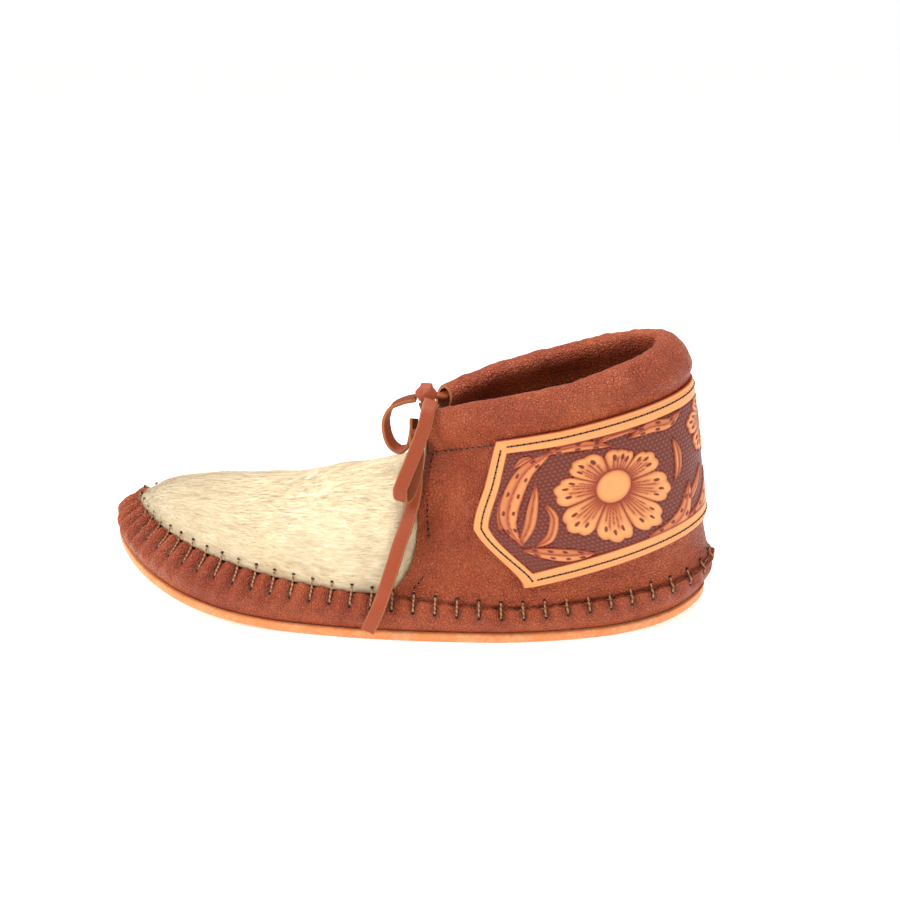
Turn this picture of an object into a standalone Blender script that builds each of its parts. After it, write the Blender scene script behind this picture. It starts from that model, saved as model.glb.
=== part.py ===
"""Moccasin boot for the left foot, as separate closed pieces in metres.

X runs from the toe (-) to the heel (+), Y points to the inner side of the foot and Z is up.
The origin is on the floor under the middle of the sole. The boot is lofted over one last:
rings round the sole's outline carry the wall, and rings round the ankle carry the quarters.
"""

import math
from collections import namedtuple

import bmesh
import bpy
from mathutils import Vector

# Overall sizes
OUTSOLE_LENGTH = 0.280
BALL_WIDTH = 0.102
HEEL_WIDTH = 0.078
COLLAR_BACK_HEIGHT = 0.1245
COLLAR_SIDE_HEIGHT = 0.1146
COLLAR_FRONT_HEIGHT = 0.0936
INSTEP_HEIGHT = 0.064
WALL_HEIGHT = 0.0195

# Sole and its springs
OUTSOLE_THICKNESS = 0.0042
OUTSOLE_EDGE_ROUND = 0.0008
TOE_SPRING = 0.018
HEEL_SPRING = 0.0065
FLAT_BACK = 0.17
FLAT_FRONT = 0.60
INSOLE_THICKNESS = 0.0025
INSOLE_CLEARANCE = 0.0010

# Leather and hide
LEATHER = 0.0022
HIDE = 0.0024
PANEL_THICKNESS = 0.0018
GAP = 0.0003
FEATHER_INSET = 0.0015
WALL_BULGE = 0.0025
WALL_LEAN = 2.2
PLUG_DROP = 0.0010
PLUG_TUCK = 0.0030
PLUG_TOE = 174.0
PLUG_CORNER = 0.4
PLUG_CROWDING = 0.92
TONGUE_CLEARANCE = 0.0009

# Rolled collar
ROLL_HEIGHT = 0.0165
ROLL_THICKNESS = 0.0130
ROLL_LEATHER = 0.0018
ROLL_FLARE = 0.3
QUARTER_TUCK = 0.0065
LACE_DEPTH = 0.0048

# Lace
LACE_WIDTH = 0.0060
LACE_THICKNESS = 0.0018

# Lace where it hangs free: points of its middle line, and the direction across its flat width
BAR_RISE = 0.0038
BAR_REACH = 0.0055
BAR_HIDDEN = 0.93
KNOT = (0.0132, -0.0115, 0.0984)
KNOT_RADII = (0.0046, 0.0060, 0.0046)
LONG_LOOP = [
    (0.0160, -0.0185, 0.0971),
    (0.0155, -0.0255, 0.0951),
    (0.0142, -0.0290, 0.0888),
    (0.0095, -0.0330, 0.0758),
    (0.0059, -0.0360, 0.0668),
    (0.0047, -0.0372, 0.0630),
    (0.0054, -0.0368, 0.0594),
    (0.0076, -0.0345, 0.0602),
    (0.0099, -0.0318, 0.0666),
    (0.0110, -0.0290, 0.0737),
    (0.0108, -0.0262, 0.0790),
    (0.0103, -0.0236, 0.0836),
]
LONG_LOOP_ACROSS = (0.94, 0.10, -0.33)
SHORT_LOOP = [
    (0.0087, -0.0110, 0.0957),
    (0.0038, -0.0110, 0.0945),
    (-0.0017, -0.0120, 0.0917),
    (-0.0042, -0.0138, 0.0863),
    (-0.0036, -0.0152, 0.0801),
    (-0.0013, -0.0163, 0.0757),
    (0.0023, -0.0166, 0.0737),
    (0.0058, -0.0155, 0.0757),
    (0.0076, -0.0138, 0.0820),
    (0.0077, -0.0120, 0.0866),
]
SHORT_LOOP_ACROSS = (0.30, 0.93, 0.20)
OUTER_TAIL = [
    (0.0097, -0.0194, 0.0844),
    (0.0097, -0.0210, 0.0802),
    (0.0100, -0.0236, 0.0745),
    (0.0103, -0.0263, 0.0680),
    (0.0102, -0.0288, 0.0611),
    (0.0094, -0.0326, 0.0549),
    (0.0077, -0.0383, 0.0487),
    (0.0052, -0.0430, 0.0418),
    (0.0027, -0.0475, 0.0333),
    (-0.0003, -0.0520, 0.0236),
    (-0.0031, -0.0567, 0.0161),
    (-0.0070, -0.0585, 0.0071),
]
INNER_TAIL = [
    (0.0112, 0.0010, 0.0890),
    (0.0104, 0.0070, 0.0866),
    (0.0104, 0.0130, 0.0820),
    (0.0102, 0.0182, 0.0760),
    (0.0108, 0.0218, 0.0680),
    (0.0106, 0.0252, 0.0580),
    (0.0098, 0.0287, 0.0470),
    (0.0084, 0.0327, 0.0360),
    (0.0060, 0.0368, 0.0270),
    (0.0035, 0.0408, 0.0190),
    (0.0015, 0.0440, 0.0125),
    (0.0000, 0.0452, 0.0070),
]
TAIL_ACROSS = (0.97, 0.0, 0.24)

# Half widths are shares of the local breadth, measured from the axis.
Station = namedtuple("Station", "along outer inner axis")
OUTLINE = [
    Station(0.00, 0.641, 0.641, -0.064),
    Station(0.05, 0.672, 0.655, -0.059),
    Station(0.12, 0.668, 0.655, -0.050),
    Station(0.20, 0.667, 0.602, -0.040),
    Station(0.30, 0.635, 0.506, -0.024),
    Station(0.40, 0.579, 0.435, -0.013),
    Station(0.50, 0.542, 0.420, -0.006),
    Station(0.60, 0.535, 0.445, 0.000),
    Station(0.70, 0.562, 0.500, 0.008),
    Station(0.78, 0.591, 0.529, 0.018),
    Station(0.86, 0.601, 0.541, 0.031),
    Station(0.93, 0.578, 0.535, 0.047),
    Station(1.00, 0.510, 0.510, 0.075),
]

# Top of the wall: inset from the sole's edge as a share of the ball width, and height above
# the sole as a share of the wall's height.
Seam = namedtuple("Seam", "along inset rise")
SEAM = [
    Seam(0.00, -0.005, 0.770),
    Seam(0.05, 0.005, 0.178),
    Seam(0.12, 0.020, 0.178),
    Seam(0.20, 0.034, 0.640),
    Seam(0.30, 0.044, 0.530),
    Seam(0.40, 0.049, 0.610),
    Seam(0.50, 0.062, 0.730),
    Seam(0.60, 0.083, 0.800),
    Seam(0.70, 0.096, 0.920),
    Seam(0.78, 0.105, 1.000),
    Seam(0.86, 0.113, 0.980),
    Seam(0.93, 0.118, 0.890),
    Seam(1.00, 0.118, 0.720),
]

# Rings round the ankle: reaches are shares of the outsole's length, widths of the heel's width,
# sweeps are degrees from the heel, and rises are shares of the collar's back, side and front.
Level = namedtuple("Level", "back middle front axis outer inner sweep back_rise side_rise front_rise")
LEVELS = [
    Level(0.4907, 0.221, -0.2390, -0.026, 0.526, 0.436, 113.8, 0.305, 0.253, 0.331),
    Level(0.4768, 0.243, -0.0390, -0.026, 0.494, 0.432, 135.5, 0.482, 0.445, 0.556),
    Level(0.4618, 0.250, -0.0046, -0.026, 0.462, 0.430, 143.3, 0.675, 0.654, 0.726),
    Level(0.4429, 0.254, 0.0250, -0.026, 0.436, 0.427, 150.5, 0.863, 0.855, 0.823),
]
TOP_RING = Level(0.4214, 0.257, 0.0286, -0.026, 0.397, 0.397, 148.4, 1.0, 1.0, 1.0)
SEAM_SWEEP = 89.2

# Middle line of the plug: share of the outsole's length from the heel, and height as a share
# of the instep's height.
Ridge = namedtuple("Ridge", "along rise")
RIDGE = [
    Ridge(0.500, 1.020),
    Ridge(0.550, 0.950),
    Ridge(0.604, 0.897),
    Ridge(0.675, 0.800),
    Ridge(0.746, 0.758),
    Ridge(0.814, 0.741),
    Ridge(0.875, 0.713),
    Ridge(0.907, 0.684),
    Ridge(0.925, 0.643),
    Ridge(0.943, 0.594),
    Ridge(0.957, 0.558),
]

# Rows of the tongue above the instep: row of the quarter beside it, middle line's reach as a
# share of the outsole's length, and its height as a share of the way from the instep's height
# to the collar's front height. The tip's half width is a share of the collar's front height.
TongueRow = namedtuple("TongueRow", "row reach rise")
TONGUE_ROWS = [
    TongueRow(1, 0.0115, 0.070),
    TongueRow(2, 0.0170, 0.118),
    TongueRow(3, 0.0225, 0.178),
    TongueRow(4, 0.0282, 0.247),
    TongueRow(5, 0.0335, 0.327),
    TongueRow(6, 0.0385, 0.415),
    TongueRow(7, 0.0427, 0.507),
]
TongueTip = namedtuple("TongueTip", "reach half_width rise crown")
TONGUE_TIP = [
    TongueTip(0.0470, 0.122, 0.368, 0.605),
    TongueTip(0.0510, 0.104, 0.589, 0.747),
    TongueTip(0.0540, 0.090, 0.763, 0.848),
]
TONGUE_WING = 2

# Profile of the rolled collar: distance out from the quarter as a share of half its thickness,
# and depth below the crest as a share of its height.
Fold = namedtuple("Fold", "out depth")
ROLL_PROFILE = [
    Fold(0.00, 1.00),
    Fold(0.42, 0.86),
    Fold(0.84, 0.66),
    Fold(1.00, 0.44),
    Fold(0.88, 0.22),
    Fold(0.50, 0.06),
    Fold(0.00, 0.00),
]

# Heel panel: front edge at the share of the way from the heel to the throat, for heights from
# the panel's bottom to its top, and bottom edge as a share of the collar's heights.
PanelEdge = namedtuple("PanelEdge", "height front")
PANEL_EDGE = [
    PanelEdge(0.00, 0.806),
    PanelEdge(0.42, 0.838),
    PanelEdge(1.00, 0.757),
]
PANEL_BOTTOM_BACK = 0.357
PANEL_BOTTOM_SIDE = 0.305
PANEL_BOTTOM_FRONT = 0.170
PANEL_TOP_CLEARANCE = 0.0014

# Mesh density
QUARTER_COLUMNS = 20
FRONT_COLUMNS = 44
WALL_ROWS = 6
QUARTER_ROWS = 12
PLUG_ROWS = 17
ARCH_COLUMNS = 12
HALF_COLUMNS = 9
ROLL_COLUMNS = 36
PANEL_COLUMNS = 32
PANEL_ROWS = 9
SOLE_STATIONS = 44


def smoothstep(value):
    """Ease a value from 0 to 1."""
    value = min(max(value, 0.0), 1.0)
    return value * value * (3.0 - 2.0 * value)


def between(first, last, part):
    """Point or number at a part of the way from first to last."""
    return first + (last - first) * part


def hermite(values, knots, at):
    """Smooth curve through values at the given knots, numbers or vectors."""
    at = min(max(at, knots[0]), knots[-1])
    index = 0
    while index < len(knots) - 2 and at > knots[index + 1]:
        index += 1
    slopes = []
    for here in (index, index + 1):
        before = max(here - 1, 0)
        after = min(here + 1, len(knots) - 1)
        slopes.append((values[after] - values[before]) / (knots[after] - knots[before]))
    span = knots[index + 1] - knots[index]
    part = (at - knots[index]) / span
    rest = 1.0 - part
    start = values[index] * (rest * rest * (1.0 + 2.0 * part))
    end = values[index + 1] * (part * part * (3.0 - 2.0 * part))
    turn = slopes[0] * (part * rest * rest * span) - slopes[1] * (part * part * rest * span)
    return start + end + turn


def column(table, name, at):
    """Value of a named column of a table, read smoothly at its first column's value."""
    return hermite([getattr(row, name) for row in table], [row[0] for row in table], at)


def three_heights(back, side, front, sweep):
    """Height level at the heel, side half way round at a sweep of 0.5 and front at 1."""
    bow = (16.0 * (side - back) - (front - back)) / 3.0
    return back + bow * sweep ** 2 + (front - back - bow) * sweep ** 4


def along_sole(x):
    """Share of the outsole's length between the heel and x."""
    return min(max(0.5 - x / OUTSOLE_LENGTH, 0.0), 1.0)


def floor_rise(x):
    """Height of the outsole's underside above the floor."""
    along = along_sole(x)
    if along > FLAT_FRONT:
        return TOE_SPRING * ((along - FLAT_FRONT) / (1.0 - FLAT_FRONT)) ** 2
    if along < FLAT_BACK:
        return HEEL_SPRING * ((FLAT_BACK - along) / FLAT_BACK) ** 2
    return 0.0


def sole_top(x):
    """Height of the outsole's upper face."""
    return floor_rise(x) + OUTSOLE_THICKNESS


def sole_edge(angle):
    """Point of the sole's outline; 0 is the heel, pi the toe, and the outer side comes first."""
    along = (1.0 - math.cos(angle)) / 2.0
    breadth = between(HEEL_WIDTH, BALL_WIDTH, smoothstep((along - 0.15) / 0.45))
    side = "outer" if math.sin(angle) >= 0.0 else "inner"
    half = column(OUTLINE, side, along) * breadth
    axis = column(OUTLINE, "axis", along) * breadth
    return Vector((OUTSOLE_LENGTH * (0.5 - along), axis - half * math.sin(angle), 0.0))


def ring(angle, inset):
    """Point inside the sole's outline by the inset."""
    step = 0.01
    run = sole_edge(angle + step) - sole_edge(angle - step)
    inward = Vector((run.y, -run.x, 0.0)).normalized()
    return sole_edge(angle) + inward * inset


def seam_inset(angle):
    """Inset of the wall's top from the sole's outline."""
    return column(SEAM, "inset", (1.0 - math.cos(angle)) / 2.0) * BALL_WIDTH


def seam_height(angle):
    """Height of the wall's top above the floor."""
    along = (1.0 - math.cos(angle)) / 2.0
    base = sole_top(sole_edge(angle).x) + GAP
    return base + column(SEAM, "rise", along) * WALL_HEIGHT


def wall_skin(angle, rise):
    """Outer face of the wall, from the sole at 0 to its top edge at 1."""
    top_inset = seam_inset(angle) - LEATHER
    inset = between(FEATHER_INSET, top_inset, rise ** WALL_LEAN)
    inset -= WALL_BULGE * math.sin(math.pi * rise)
    point = ring(angle, inset)
    base = sole_top(ring(angle, FEATHER_INSET).x) + GAP
    point.z = between(base, seam_height(angle), rise)
    return point


def seam_point(angle, inset, drop):
    """Point near the wall's top, further in by the inset and lower by the drop."""
    point = ring(angle, seam_inset(angle) + inset)
    point.z = seam_height(angle) - drop
    return point


def inward_of(surface, first, second, depth):
    """Point under a surface by the depth, along its normal."""
    step = 0.004
    across = surface(first + step, second) - surface(first - step, second)
    upward = surface(first, second + step) - surface(first, second - step)
    outward = upward.cross(across).normalized()
    return surface(first, second) - outward * depth


def quarter_level(sweep, level):
    """Point of one ankle ring; the sweep is 0 at the heel and 1 or -1 at the throat."""
    angle = math.radians(level.sweep) * abs(sweep)
    middle = level.middle * OUTSOLE_LENGTH
    reach = level.back if angle < math.pi / 2 else level.front
    half_length = abs(reach * OUTSOLE_LENGTH - middle)
    half_width = (level.outer if sweep >= 0.0 else -level.inner) * HEEL_WIDTH
    return Vector((
        middle + half_length * math.cos(angle),
        level.axis * HEEL_WIDTH - half_width * math.sin(angle),
        three_heights(
            level.back_rise * COLLAR_BACK_HEIGHT,
            level.side_rise * COLLAR_SIDE_HEIGHT,
            level.front_rise * COLLAR_FRONT_HEIGHT,
            sweep,
        ),
    ))


def crest_height(sweep):
    """Height of the rolled collar's crest."""
    return three_heights(COLLAR_BACK_HEIGHT, COLLAR_SIDE_HEIGHT, COLLAR_FRONT_HEIGHT, sweep)


def quarter_skin(sweep, level):
    """Outer face of the quarters; level 0 is the seam and 5 the top edge."""
    points = [seam_point(math.radians(SEAM_SWEEP) * sweep, 0.0, 0.0)]
    points += [quarter_level(sweep, row) for row in LEVELS]
    top = quarter_level(sweep, TOP_RING)
    top.z -= QUARTER_TUCK
    points.append(top)
    knots = list(range(len(points)))
    if level > knots[-1]:
        return points[-1] + (points[-1] - points[-2]) * (level - knots[-1])
    if level < 0.0:
        return points[0] + (points[1] - points[0]) * level
    return hermite(points, knots, level)


TOP_LEVEL = len(LEVELS) + 1


def level_at(sweep, height):
    """Level of the quarters at a height, by halving."""
    low, high = 0.0, float(TOP_LEVEL)
    for _ in range(22):
        middle = (low + high) / 2.0
        if quarter_skin(sweep, middle).z < height:
            low = middle
        else:
            high = middle
    return (low + high) / 2.0


def collar_outward(sweep):
    """Level direction that points out of the boot at the collar."""
    step = 0.01
    run = quarter_level(sweep + step, TOP_RING) - quarter_level(sweep - step, TOP_RING)
    return Vector((-run.y, run.x, 0.0)).normalized()


def collar_point(sweep, out, depth):
    """Point beside the quarters' middle, below the crest by the depth."""
    height = crest_height(sweep) - depth
    point = inward_of(quarter_skin, sweep, level_at(sweep, height), LEATHER / 2.0)
    point.z = height
    return point + collar_outward(sweep) * out


def material(name, color, roughness):
    """Principled material with a plain colour."""
    made = bpy.data.materials.new(name)
    made.use_nodes = True
    shader = made.node_tree.nodes["Principled BSDF"]
    shader.inputs["Base Color"].default_value = (*color, 1.0)
    shader.inputs["Roughness"].default_value = roughness
    shader.inputs["Metallic"].default_value = 0.0
    made.diffuse_color = (*color, 1.0)
    return made


def solid(name, points, faces, finish, collection):
    """Closed mesh object with its faces pointing out."""
    mesh = bpy.data.meshes.new(name)
    mesh.from_pydata([tuple(point) for point in points], [], faces)
    shape = bmesh.new()
    shape.from_mesh(mesh)
    bmesh.ops.recalc_face_normals(shape, faces=shape.faces)
    shape.to_mesh(mesh)
    shape.free()
    mesh.materials.append(finish)
    mesh.shade_smooth()
    mesh.set_sharp_from_angle(angle=math.radians(40))
    placed = bpy.data.objects.new(name, mesh)
    collection.objects.link(placed)
    return placed


def loft(name, sections, finish, collection):
    """Solid through sections, each a pair of equally long lists: one face and the face behind it."""
    points = []
    for front, behind in sections:
        points += front + behind[::-1]
    count = len(sections[0][0])
    around = 2 * count
    faces = []
    for row in range(len(sections) - 1):
        for place in range(around):
            after = (place + 1) % around
            here = row * around
            faces.append((here + place, here + after, here + around + after, here + around + place))
    for base in (0, (len(sections) - 1) * around):
        for place in range(count - 1):
            back = around - 1 - place
            faces.append((base + place, base + place + 1, base + back - 1, base + back))
    return solid(name, points, faces, finish, collection)


def sole_angles():
    """Angles of the sole's cross sections, with a narrow flat tip at each end."""
    tip = 0.055
    return [between(tip, math.pi - tip, step / SOLE_STATIONS) for step in range(SOLE_STATIONS + 1)]


def build_outsole(finish, collection):
    """Thin sole with a rounded edge, turned up at the toe and the heel."""
    sections = []
    for angle in sole_angles():
        upper_face = []
        lower_face = []
        for side in (1.0, -1.0):
            edge = ring(side * angle, 0.0)
            inner = ring(side * angle, OUTSOLE_EDGE_ROUND)
            inner.x = edge.x
            low = floor_rise(edge.x)
            high = sole_top(edge.x)
            upper = [
                Vector((edge.x, edge.y, high - OUTSOLE_EDGE_ROUND)),
                Vector((edge.x, inner.y, high)),
            ]
            lower = [
                Vector((edge.x, edge.y, low + OUTSOLE_EDGE_ROUND)),
                Vector((edge.x, inner.y, low)),
            ]
            upper_face += upper if side > 0.0 else upper[::-1]
            lower_face += lower if side > 0.0 else lower[::-1]
        sections.append((upper_face, lower_face))
    return loft("outsole", sections, finish, collection)


def build_insole(finish, collection):
    """Flat leather that covers the outsole inside the wall."""
    inset = FEATHER_INSET + LEATHER + INSOLE_CLEARANCE
    sections = []
    for angle in sole_angles():
        outer = ring(angle, inset)
        inner = ring(-angle, inset)
        upper_face = []
        lower_face = []
        for edge in (outer, inner):
            base = sole_top(edge.x) + GAP
            upper_face.append(Vector((edge.x, edge.y, base + INSOLE_THICKNESS)))
            lower_face.append(Vector((edge.x, edge.y, base)))
        sections.append((upper_face, lower_face))
    return loft("insole", sections, finish, collection)


def column_angles():
    """Angles of the upper's columns, the quarters' first, then the front of the wall."""
    sweep = math.radians(SEAM_SWEEP)
    angles = []
    for step in range(-QUARTER_COLUMNS, QUARTER_COLUMNS + 1):
        angles.append(sweep * step / QUARTER_COLUMNS)
    for step in range(1, FRONT_COLUMNS):
        angles.append(between(sweep, 2.0 * math.pi - sweep, step / FRONT_COLUMNS))
    return angles


def under_quarter(angle):
    """How much of the quarters' layer lies inside the wall at an angle, from 0 to 1."""
    turned = abs(math.degrees(math.atan2(math.sin(angle), math.cos(angle))))
    fade = 2.0 * (360.0 - 2.0 * SEAM_SWEEP) / FRONT_COLUMNS
    return min(max(1.0 - (turned - SEAM_SWEEP) / fade, 0.0), 1.0)


def wall_loop(angle):
    """Closed section of the wall: up its outer face, over its edge and down its inner face."""
    backed = under_quarter(angle)
    loop = [wall_skin(angle, row / WALL_ROWS) for row in range(WALL_ROWS + 1)]
    loop.append(seam_point(angle, 0.0, 0.0))
    loop.append(seam_point(angle, LEATHER * backed, PLUG_TUCK * 0.5 * (1.0 - backed)))
    for row in range(WALL_ROWS - 2, 0, -1):
        rise = row / WALL_ROWS
        depth = LEATHER * (1.0 + backed * rise)
        loop.append(inward_of(wall_skin, angle, rise, depth))
    foot = ring(angle, FEATHER_INSET + LEATHER)
    foot.z = wall_skin(angle, 0.0).z
    loop.append(foot)
    return loop


def build_upper(finish, collection):
    """Wall and quarters as one hollow shell, with a step where the quarters leave the wall."""
    angles = column_angles()
    loops = [wall_loop(angle) for angle in angles]
    size = len(loops[0])
    points = [point for loop in loops for point in loop]
    count = len(angles)
    quarters = 2 * QUARTER_COLUMNS + 1
    edge = WALL_ROWS + 1
    faces = []
    for place in range(count):
        after = (place + 1) % count
        covered = place < quarters - 1
        for row in range(size):
            if covered and row == edge:
                continue
            up = (row + 1) % size
            faces.append((place * size + row, after * size + row, after * size + up, place * size + up))
    outer = []
    inner = []
    for place in range(quarters):
        sweep = (place - QUARTER_COLUMNS) / QUARTER_COLUMNS
        outer_column = [place * size + edge]
        inner_column = [place * size + edge + 1]
        for row in range(1, QUARTER_ROWS + 1):
            level = TOP_LEVEL * row / QUARTER_ROWS
            outer_column.append(len(points))
            points.append(quarter_skin(sweep, level))
            inner_column.append(len(points))
            points.append(inward_of(quarter_skin, sweep, level, LEATHER))
        outer.append(outer_column)
        inner.append(inner_column)
    for place in range(quarters - 1):
        for row in range(QUARTER_ROWS):
            for side in (outer, inner):
                faces.append((side[place][row], side[place + 1][row],
                              side[place + 1][row + 1], side[place][row + 1]))
        faces.append((outer[place][-1], outer[place + 1][-1], inner[place + 1][-1], inner[place][-1]))
    for place in (0, quarters - 1):
        for row in range(QUARTER_ROWS):
            faces.append((outer[place][row], outer[place][row + 1],
                          inner[place][row + 1], inner[place][row]))
    return solid("upper", points, faces, finish, collection)


def tongue_side(side, row):
    """Points of the tongue's edge under the quarter, from its hidden edge to the throat."""
    depth = LEATHER + TONGUE_CLEARANCE
    level = TOP_LEVEL * row / QUARTER_ROWS
    edge = []
    for step in range(TONGUE_WING, -1, -1):
        edge.append(inward_of(quarter_skin, side * (1.0 - step / QUARTER_COLUMNS), level, depth))
    return edge


def plug_side(side, angle):
    """Points of the plug's edge at the wall, from its tucked edge to the seam."""
    inset = between(GAP, LEATHER + TONGUE_CLEARANCE, under_quarter(angle))
    edge = []
    for step in range(TONGUE_WING, -1, -1):
        edge.append(seam_point(side * angle, inset, PLUG_DROP + PLUG_TUCK * step / TONGUE_WING))
    return edge


def arch(edge, crown):
    """Points on an elliptic arch from an edge up to the crown, without the edge."""
    points = []
    for step in range(1, ARCH_COLUMNS + 1):
        turn = math.pi / 2 * step / ARCH_COLUMNS
        level = 1.0 - math.cos(math.pi / 2 - turn)
        points.append(Vector((
            between(crown.x, edge.x, level),
            between(crown.y, edge.y, math.sin(math.pi / 2 - turn)),
            between(crown.z, edge.z, level),
        )))
    return points


def evenly(points, count):
    """Points at even distances along a line of points, with both ends."""
    reach = [0.0]
    for before, after in zip(points, points[1:]):
        reach.append(reach[-1] + (after - before).length)
    even = []
    for step in range(count + 1):
        at = reach[-1] * step / count
        place = 0
        while place < len(points) - 2 and at > reach[place + 1]:
            place += 1
        part = (at - reach[place]) / (reach[place + 1] - reach[place])
        even.append(between(points[place], points[place + 1], part))
    return even


def plug_row(outer_edge, inner_edge, crown):
    """Outer face of one row, from the outer side's edge over the crown to the inner side's."""
    halves = []
    for edge in (outer_edge, inner_edge):
        open_line = evenly([edge[-1]] + arch(edge[-1], crown), HALF_COLUMNS + 1 - len(edge))
        halves.append(edge[:-1] + open_line)
    return halves[0] + halves[1][:-1][::-1]


def tongue_height(share):
    """Height at a share of the way from the instep to the collar's front."""
    return between(INSTEP_HEIGHT, COLLAR_FRONT_HEIGHT, share)


def plug_rows():
    """Rows of the plug and tongue, from the toe to the tongue's top."""
    rows = []
    toe = math.radians(PLUG_TOE)
    corner = math.radians(SEAM_SWEEP + PLUG_CORNER)
    for step in range(PLUG_ROWS + 1):
        angle = between(toe, corner, (step / PLUG_ROWS) ** PLUG_CROWDING)
        outer = plug_side(1.0, angle)
        inner = plug_side(-1.0, angle)
        middle = (outer[-1] + inner[-1]) / 2.0
        height = column(RIDGE, "rise", along_sole(middle.x)) * INSTEP_HEIGHT
        rows.append(plug_row(outer, inner, Vector((middle.x, middle.y, max(height, middle.z)))))
    for row in TONGUE_ROWS:
        outer = tongue_side(1.0, row.row)
        inner = tongue_side(-1.0, row.row)
        middle = (outer[-1] + inner[-1]) / 2.0
        crown = Vector((row.reach * OUTSOLE_LENGTH, middle.y, tongue_height(row.rise)))
        rows.append(plug_row(outer, inner, crown))
    axis = LEVELS[-1].axis * HEEL_WIDTH
    for tip in TONGUE_TIP:
        reach = tip.reach * OUTSOLE_LENGTH
        half = tip.half_width * COLLAR_FRONT_HEIGHT
        low = tongue_height(tip.rise)
        edges = [Vector((reach, axis + side * half, low)) for side in (-1.0, 1.0)]
        crown = Vector((reach, axis, tongue_height(tip.crown)))
        rows.append(plug_row([edges[0]], [edges[1]], crown))
    return rows


def build_plug_tongue(finish, collection):
    """Hide plug over the toes that runs on under the quarters as the tongue."""
    rows = plug_rows()
    sections = []
    for index, row in enumerate(rows):
        before = rows[max(index - 1, 0)]
        after = rows[min(index + 1, len(rows) - 1)]
        behind = []
        for place, point in enumerate(row):
            left = row[max(place - 1, 0)]
            right = row[min(place + 1, len(row) - 1)]
            outward = (after[place] - before[place]).cross(right - left).normalized()
            behind.append(point - outward * HIDE)
        sections.append((row, behind))
    return loft("plug_tongue", sections, finish, collection)


def roll_section(sweep):
    """Hairpin section of the rolled collar over the quarters' top edge."""
    line = []
    lip = (LEATHER + ROLL_LEATHER) / 2.0 + GAP
    bulge = (ROLL_THICKNESS - ROLL_LEATHER) / 2.0
    depth_room = ROLL_HEIGHT - ROLL_LEATHER / 2.0
    for fold in ROLL_PROFILE:
        low = smoothstep((fold.depth - ROLL_FLARE) / (1.0 - ROLL_FLARE))
        out = between(fold.out * bulge, lip + fold.out * (bulge - lip), low)
        line.append((out, ROLL_LEATHER / 2.0 + fold.depth * depth_room))
    line += [(-out, depth) for out, depth in line[:-1][::-1]]
    outer = []
    inner = []
    for place, (out, depth) in enumerate(line):
        before = line[max(place - 1, 0)]
        after = line[min(place + 1, len(line) - 1)]
        run_out = after[0] - before[0]
        run_depth = after[1] - before[1]
        length = math.hypot(run_out, run_depth)
        side_out = -run_depth / length * ROLL_LEATHER / 2.0
        side_depth = run_out / length * ROLL_LEATHER / 2.0
        outer.append(collar_point(sweep, out + side_out, depth + side_depth))
        inner.append(collar_point(sweep, out - side_out, depth - side_depth))
    return outer, inner


def build_collar_roll(finish, collection):
    """Rolled collar, open at both throat ends as the lace's channel."""
    sections = []
    for step in range(ROLL_COLUMNS + 1):
        sections.append(roll_section(between(-1.0, 1.0, step / ROLL_COLUMNS)))
    return loft("collar_roll", sections, finish, collection)


def panel_front(height):
    """Share of the way from the heel to the throat where the panel's straight front edges lie."""
    for low, high in zip(PANEL_EDGE, PANEL_EDGE[1:]):
        if height <= high.height:
            return between(low.front, high.front, (height - low.height) / (high.height - low.height))
    return PANEL_EDGE[-1].front


def panel_point(place, height, depth):
    """Point over the quarters; place runs from -1 to 1 and height from 0 to 1."""
    sweep = place * panel_front(height)
    bottom = three_heights(
        PANEL_BOTTOM_BACK * COLLAR_BACK_HEIGHT,
        PANEL_BOTTOM_SIDE * COLLAR_SIDE_HEIGHT,
        PANEL_BOTTOM_FRONT * COLLAR_FRONT_HEIGHT,
        sweep,
    )
    top = crest_height(sweep) - ROLL_HEIGHT - PANEL_TOP_CLEARANCE
    level = level_at(sweep, between(bottom, top, height))
    return inward_of(quarter_skin, sweep, level, -depth)


def build_heel_panel(finish, collection):
    """Tooled overlay that wraps the heel outside the quarters."""
    sections = []
    for step in range(PANEL_COLUMNS + 1):
        place = between(-1.0, 1.0, step / PANEL_COLUMNS)
        outer = []
        inner = []
        for row in range(PANEL_ROWS + 1):
            height = row / PANEL_ROWS
            outer.append(panel_point(place, height, GAP + PANEL_THICKNESS))
            inner.append(panel_point(place, height, GAP))
        sections.append((outer, inner))
    return loft("heel_panel", sections, finish, collection)


def lace_strip(name, route, across, finish, collection):
    """Flat strip of lace along a smooth line through the route's points."""
    knots = [0.0]
    for before, after in zip(route, route[1:]):
        knots.append(knots[-1] + (after - before).length)
    count = max(8, round(knots[-1] / (LACE_WIDTH * 0.55)))
    sections = []
    for step in range(count + 1):
        at = knots[-1] * step / count
        run = hermite(route, knots, at + 0.0005) - hermite(route, knots, at - 0.0005)
        run.normalize()
        flat = hermite(across, knots, at)
        flat = (flat - run * flat.dot(run)).normalized()
        face = run.cross(flat)
        middle = hermite(route, knots, at)
        sections.append(tuple(
            [middle + flat * (side * LACE_WIDTH / 2.0) + face * (over * LACE_THICKNESS / 2.0)
             for side in (-1.0, 1.0)]
            for over in (1.0, -1.0)
        ))
    return loft(name, sections, finish, collection)


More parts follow.
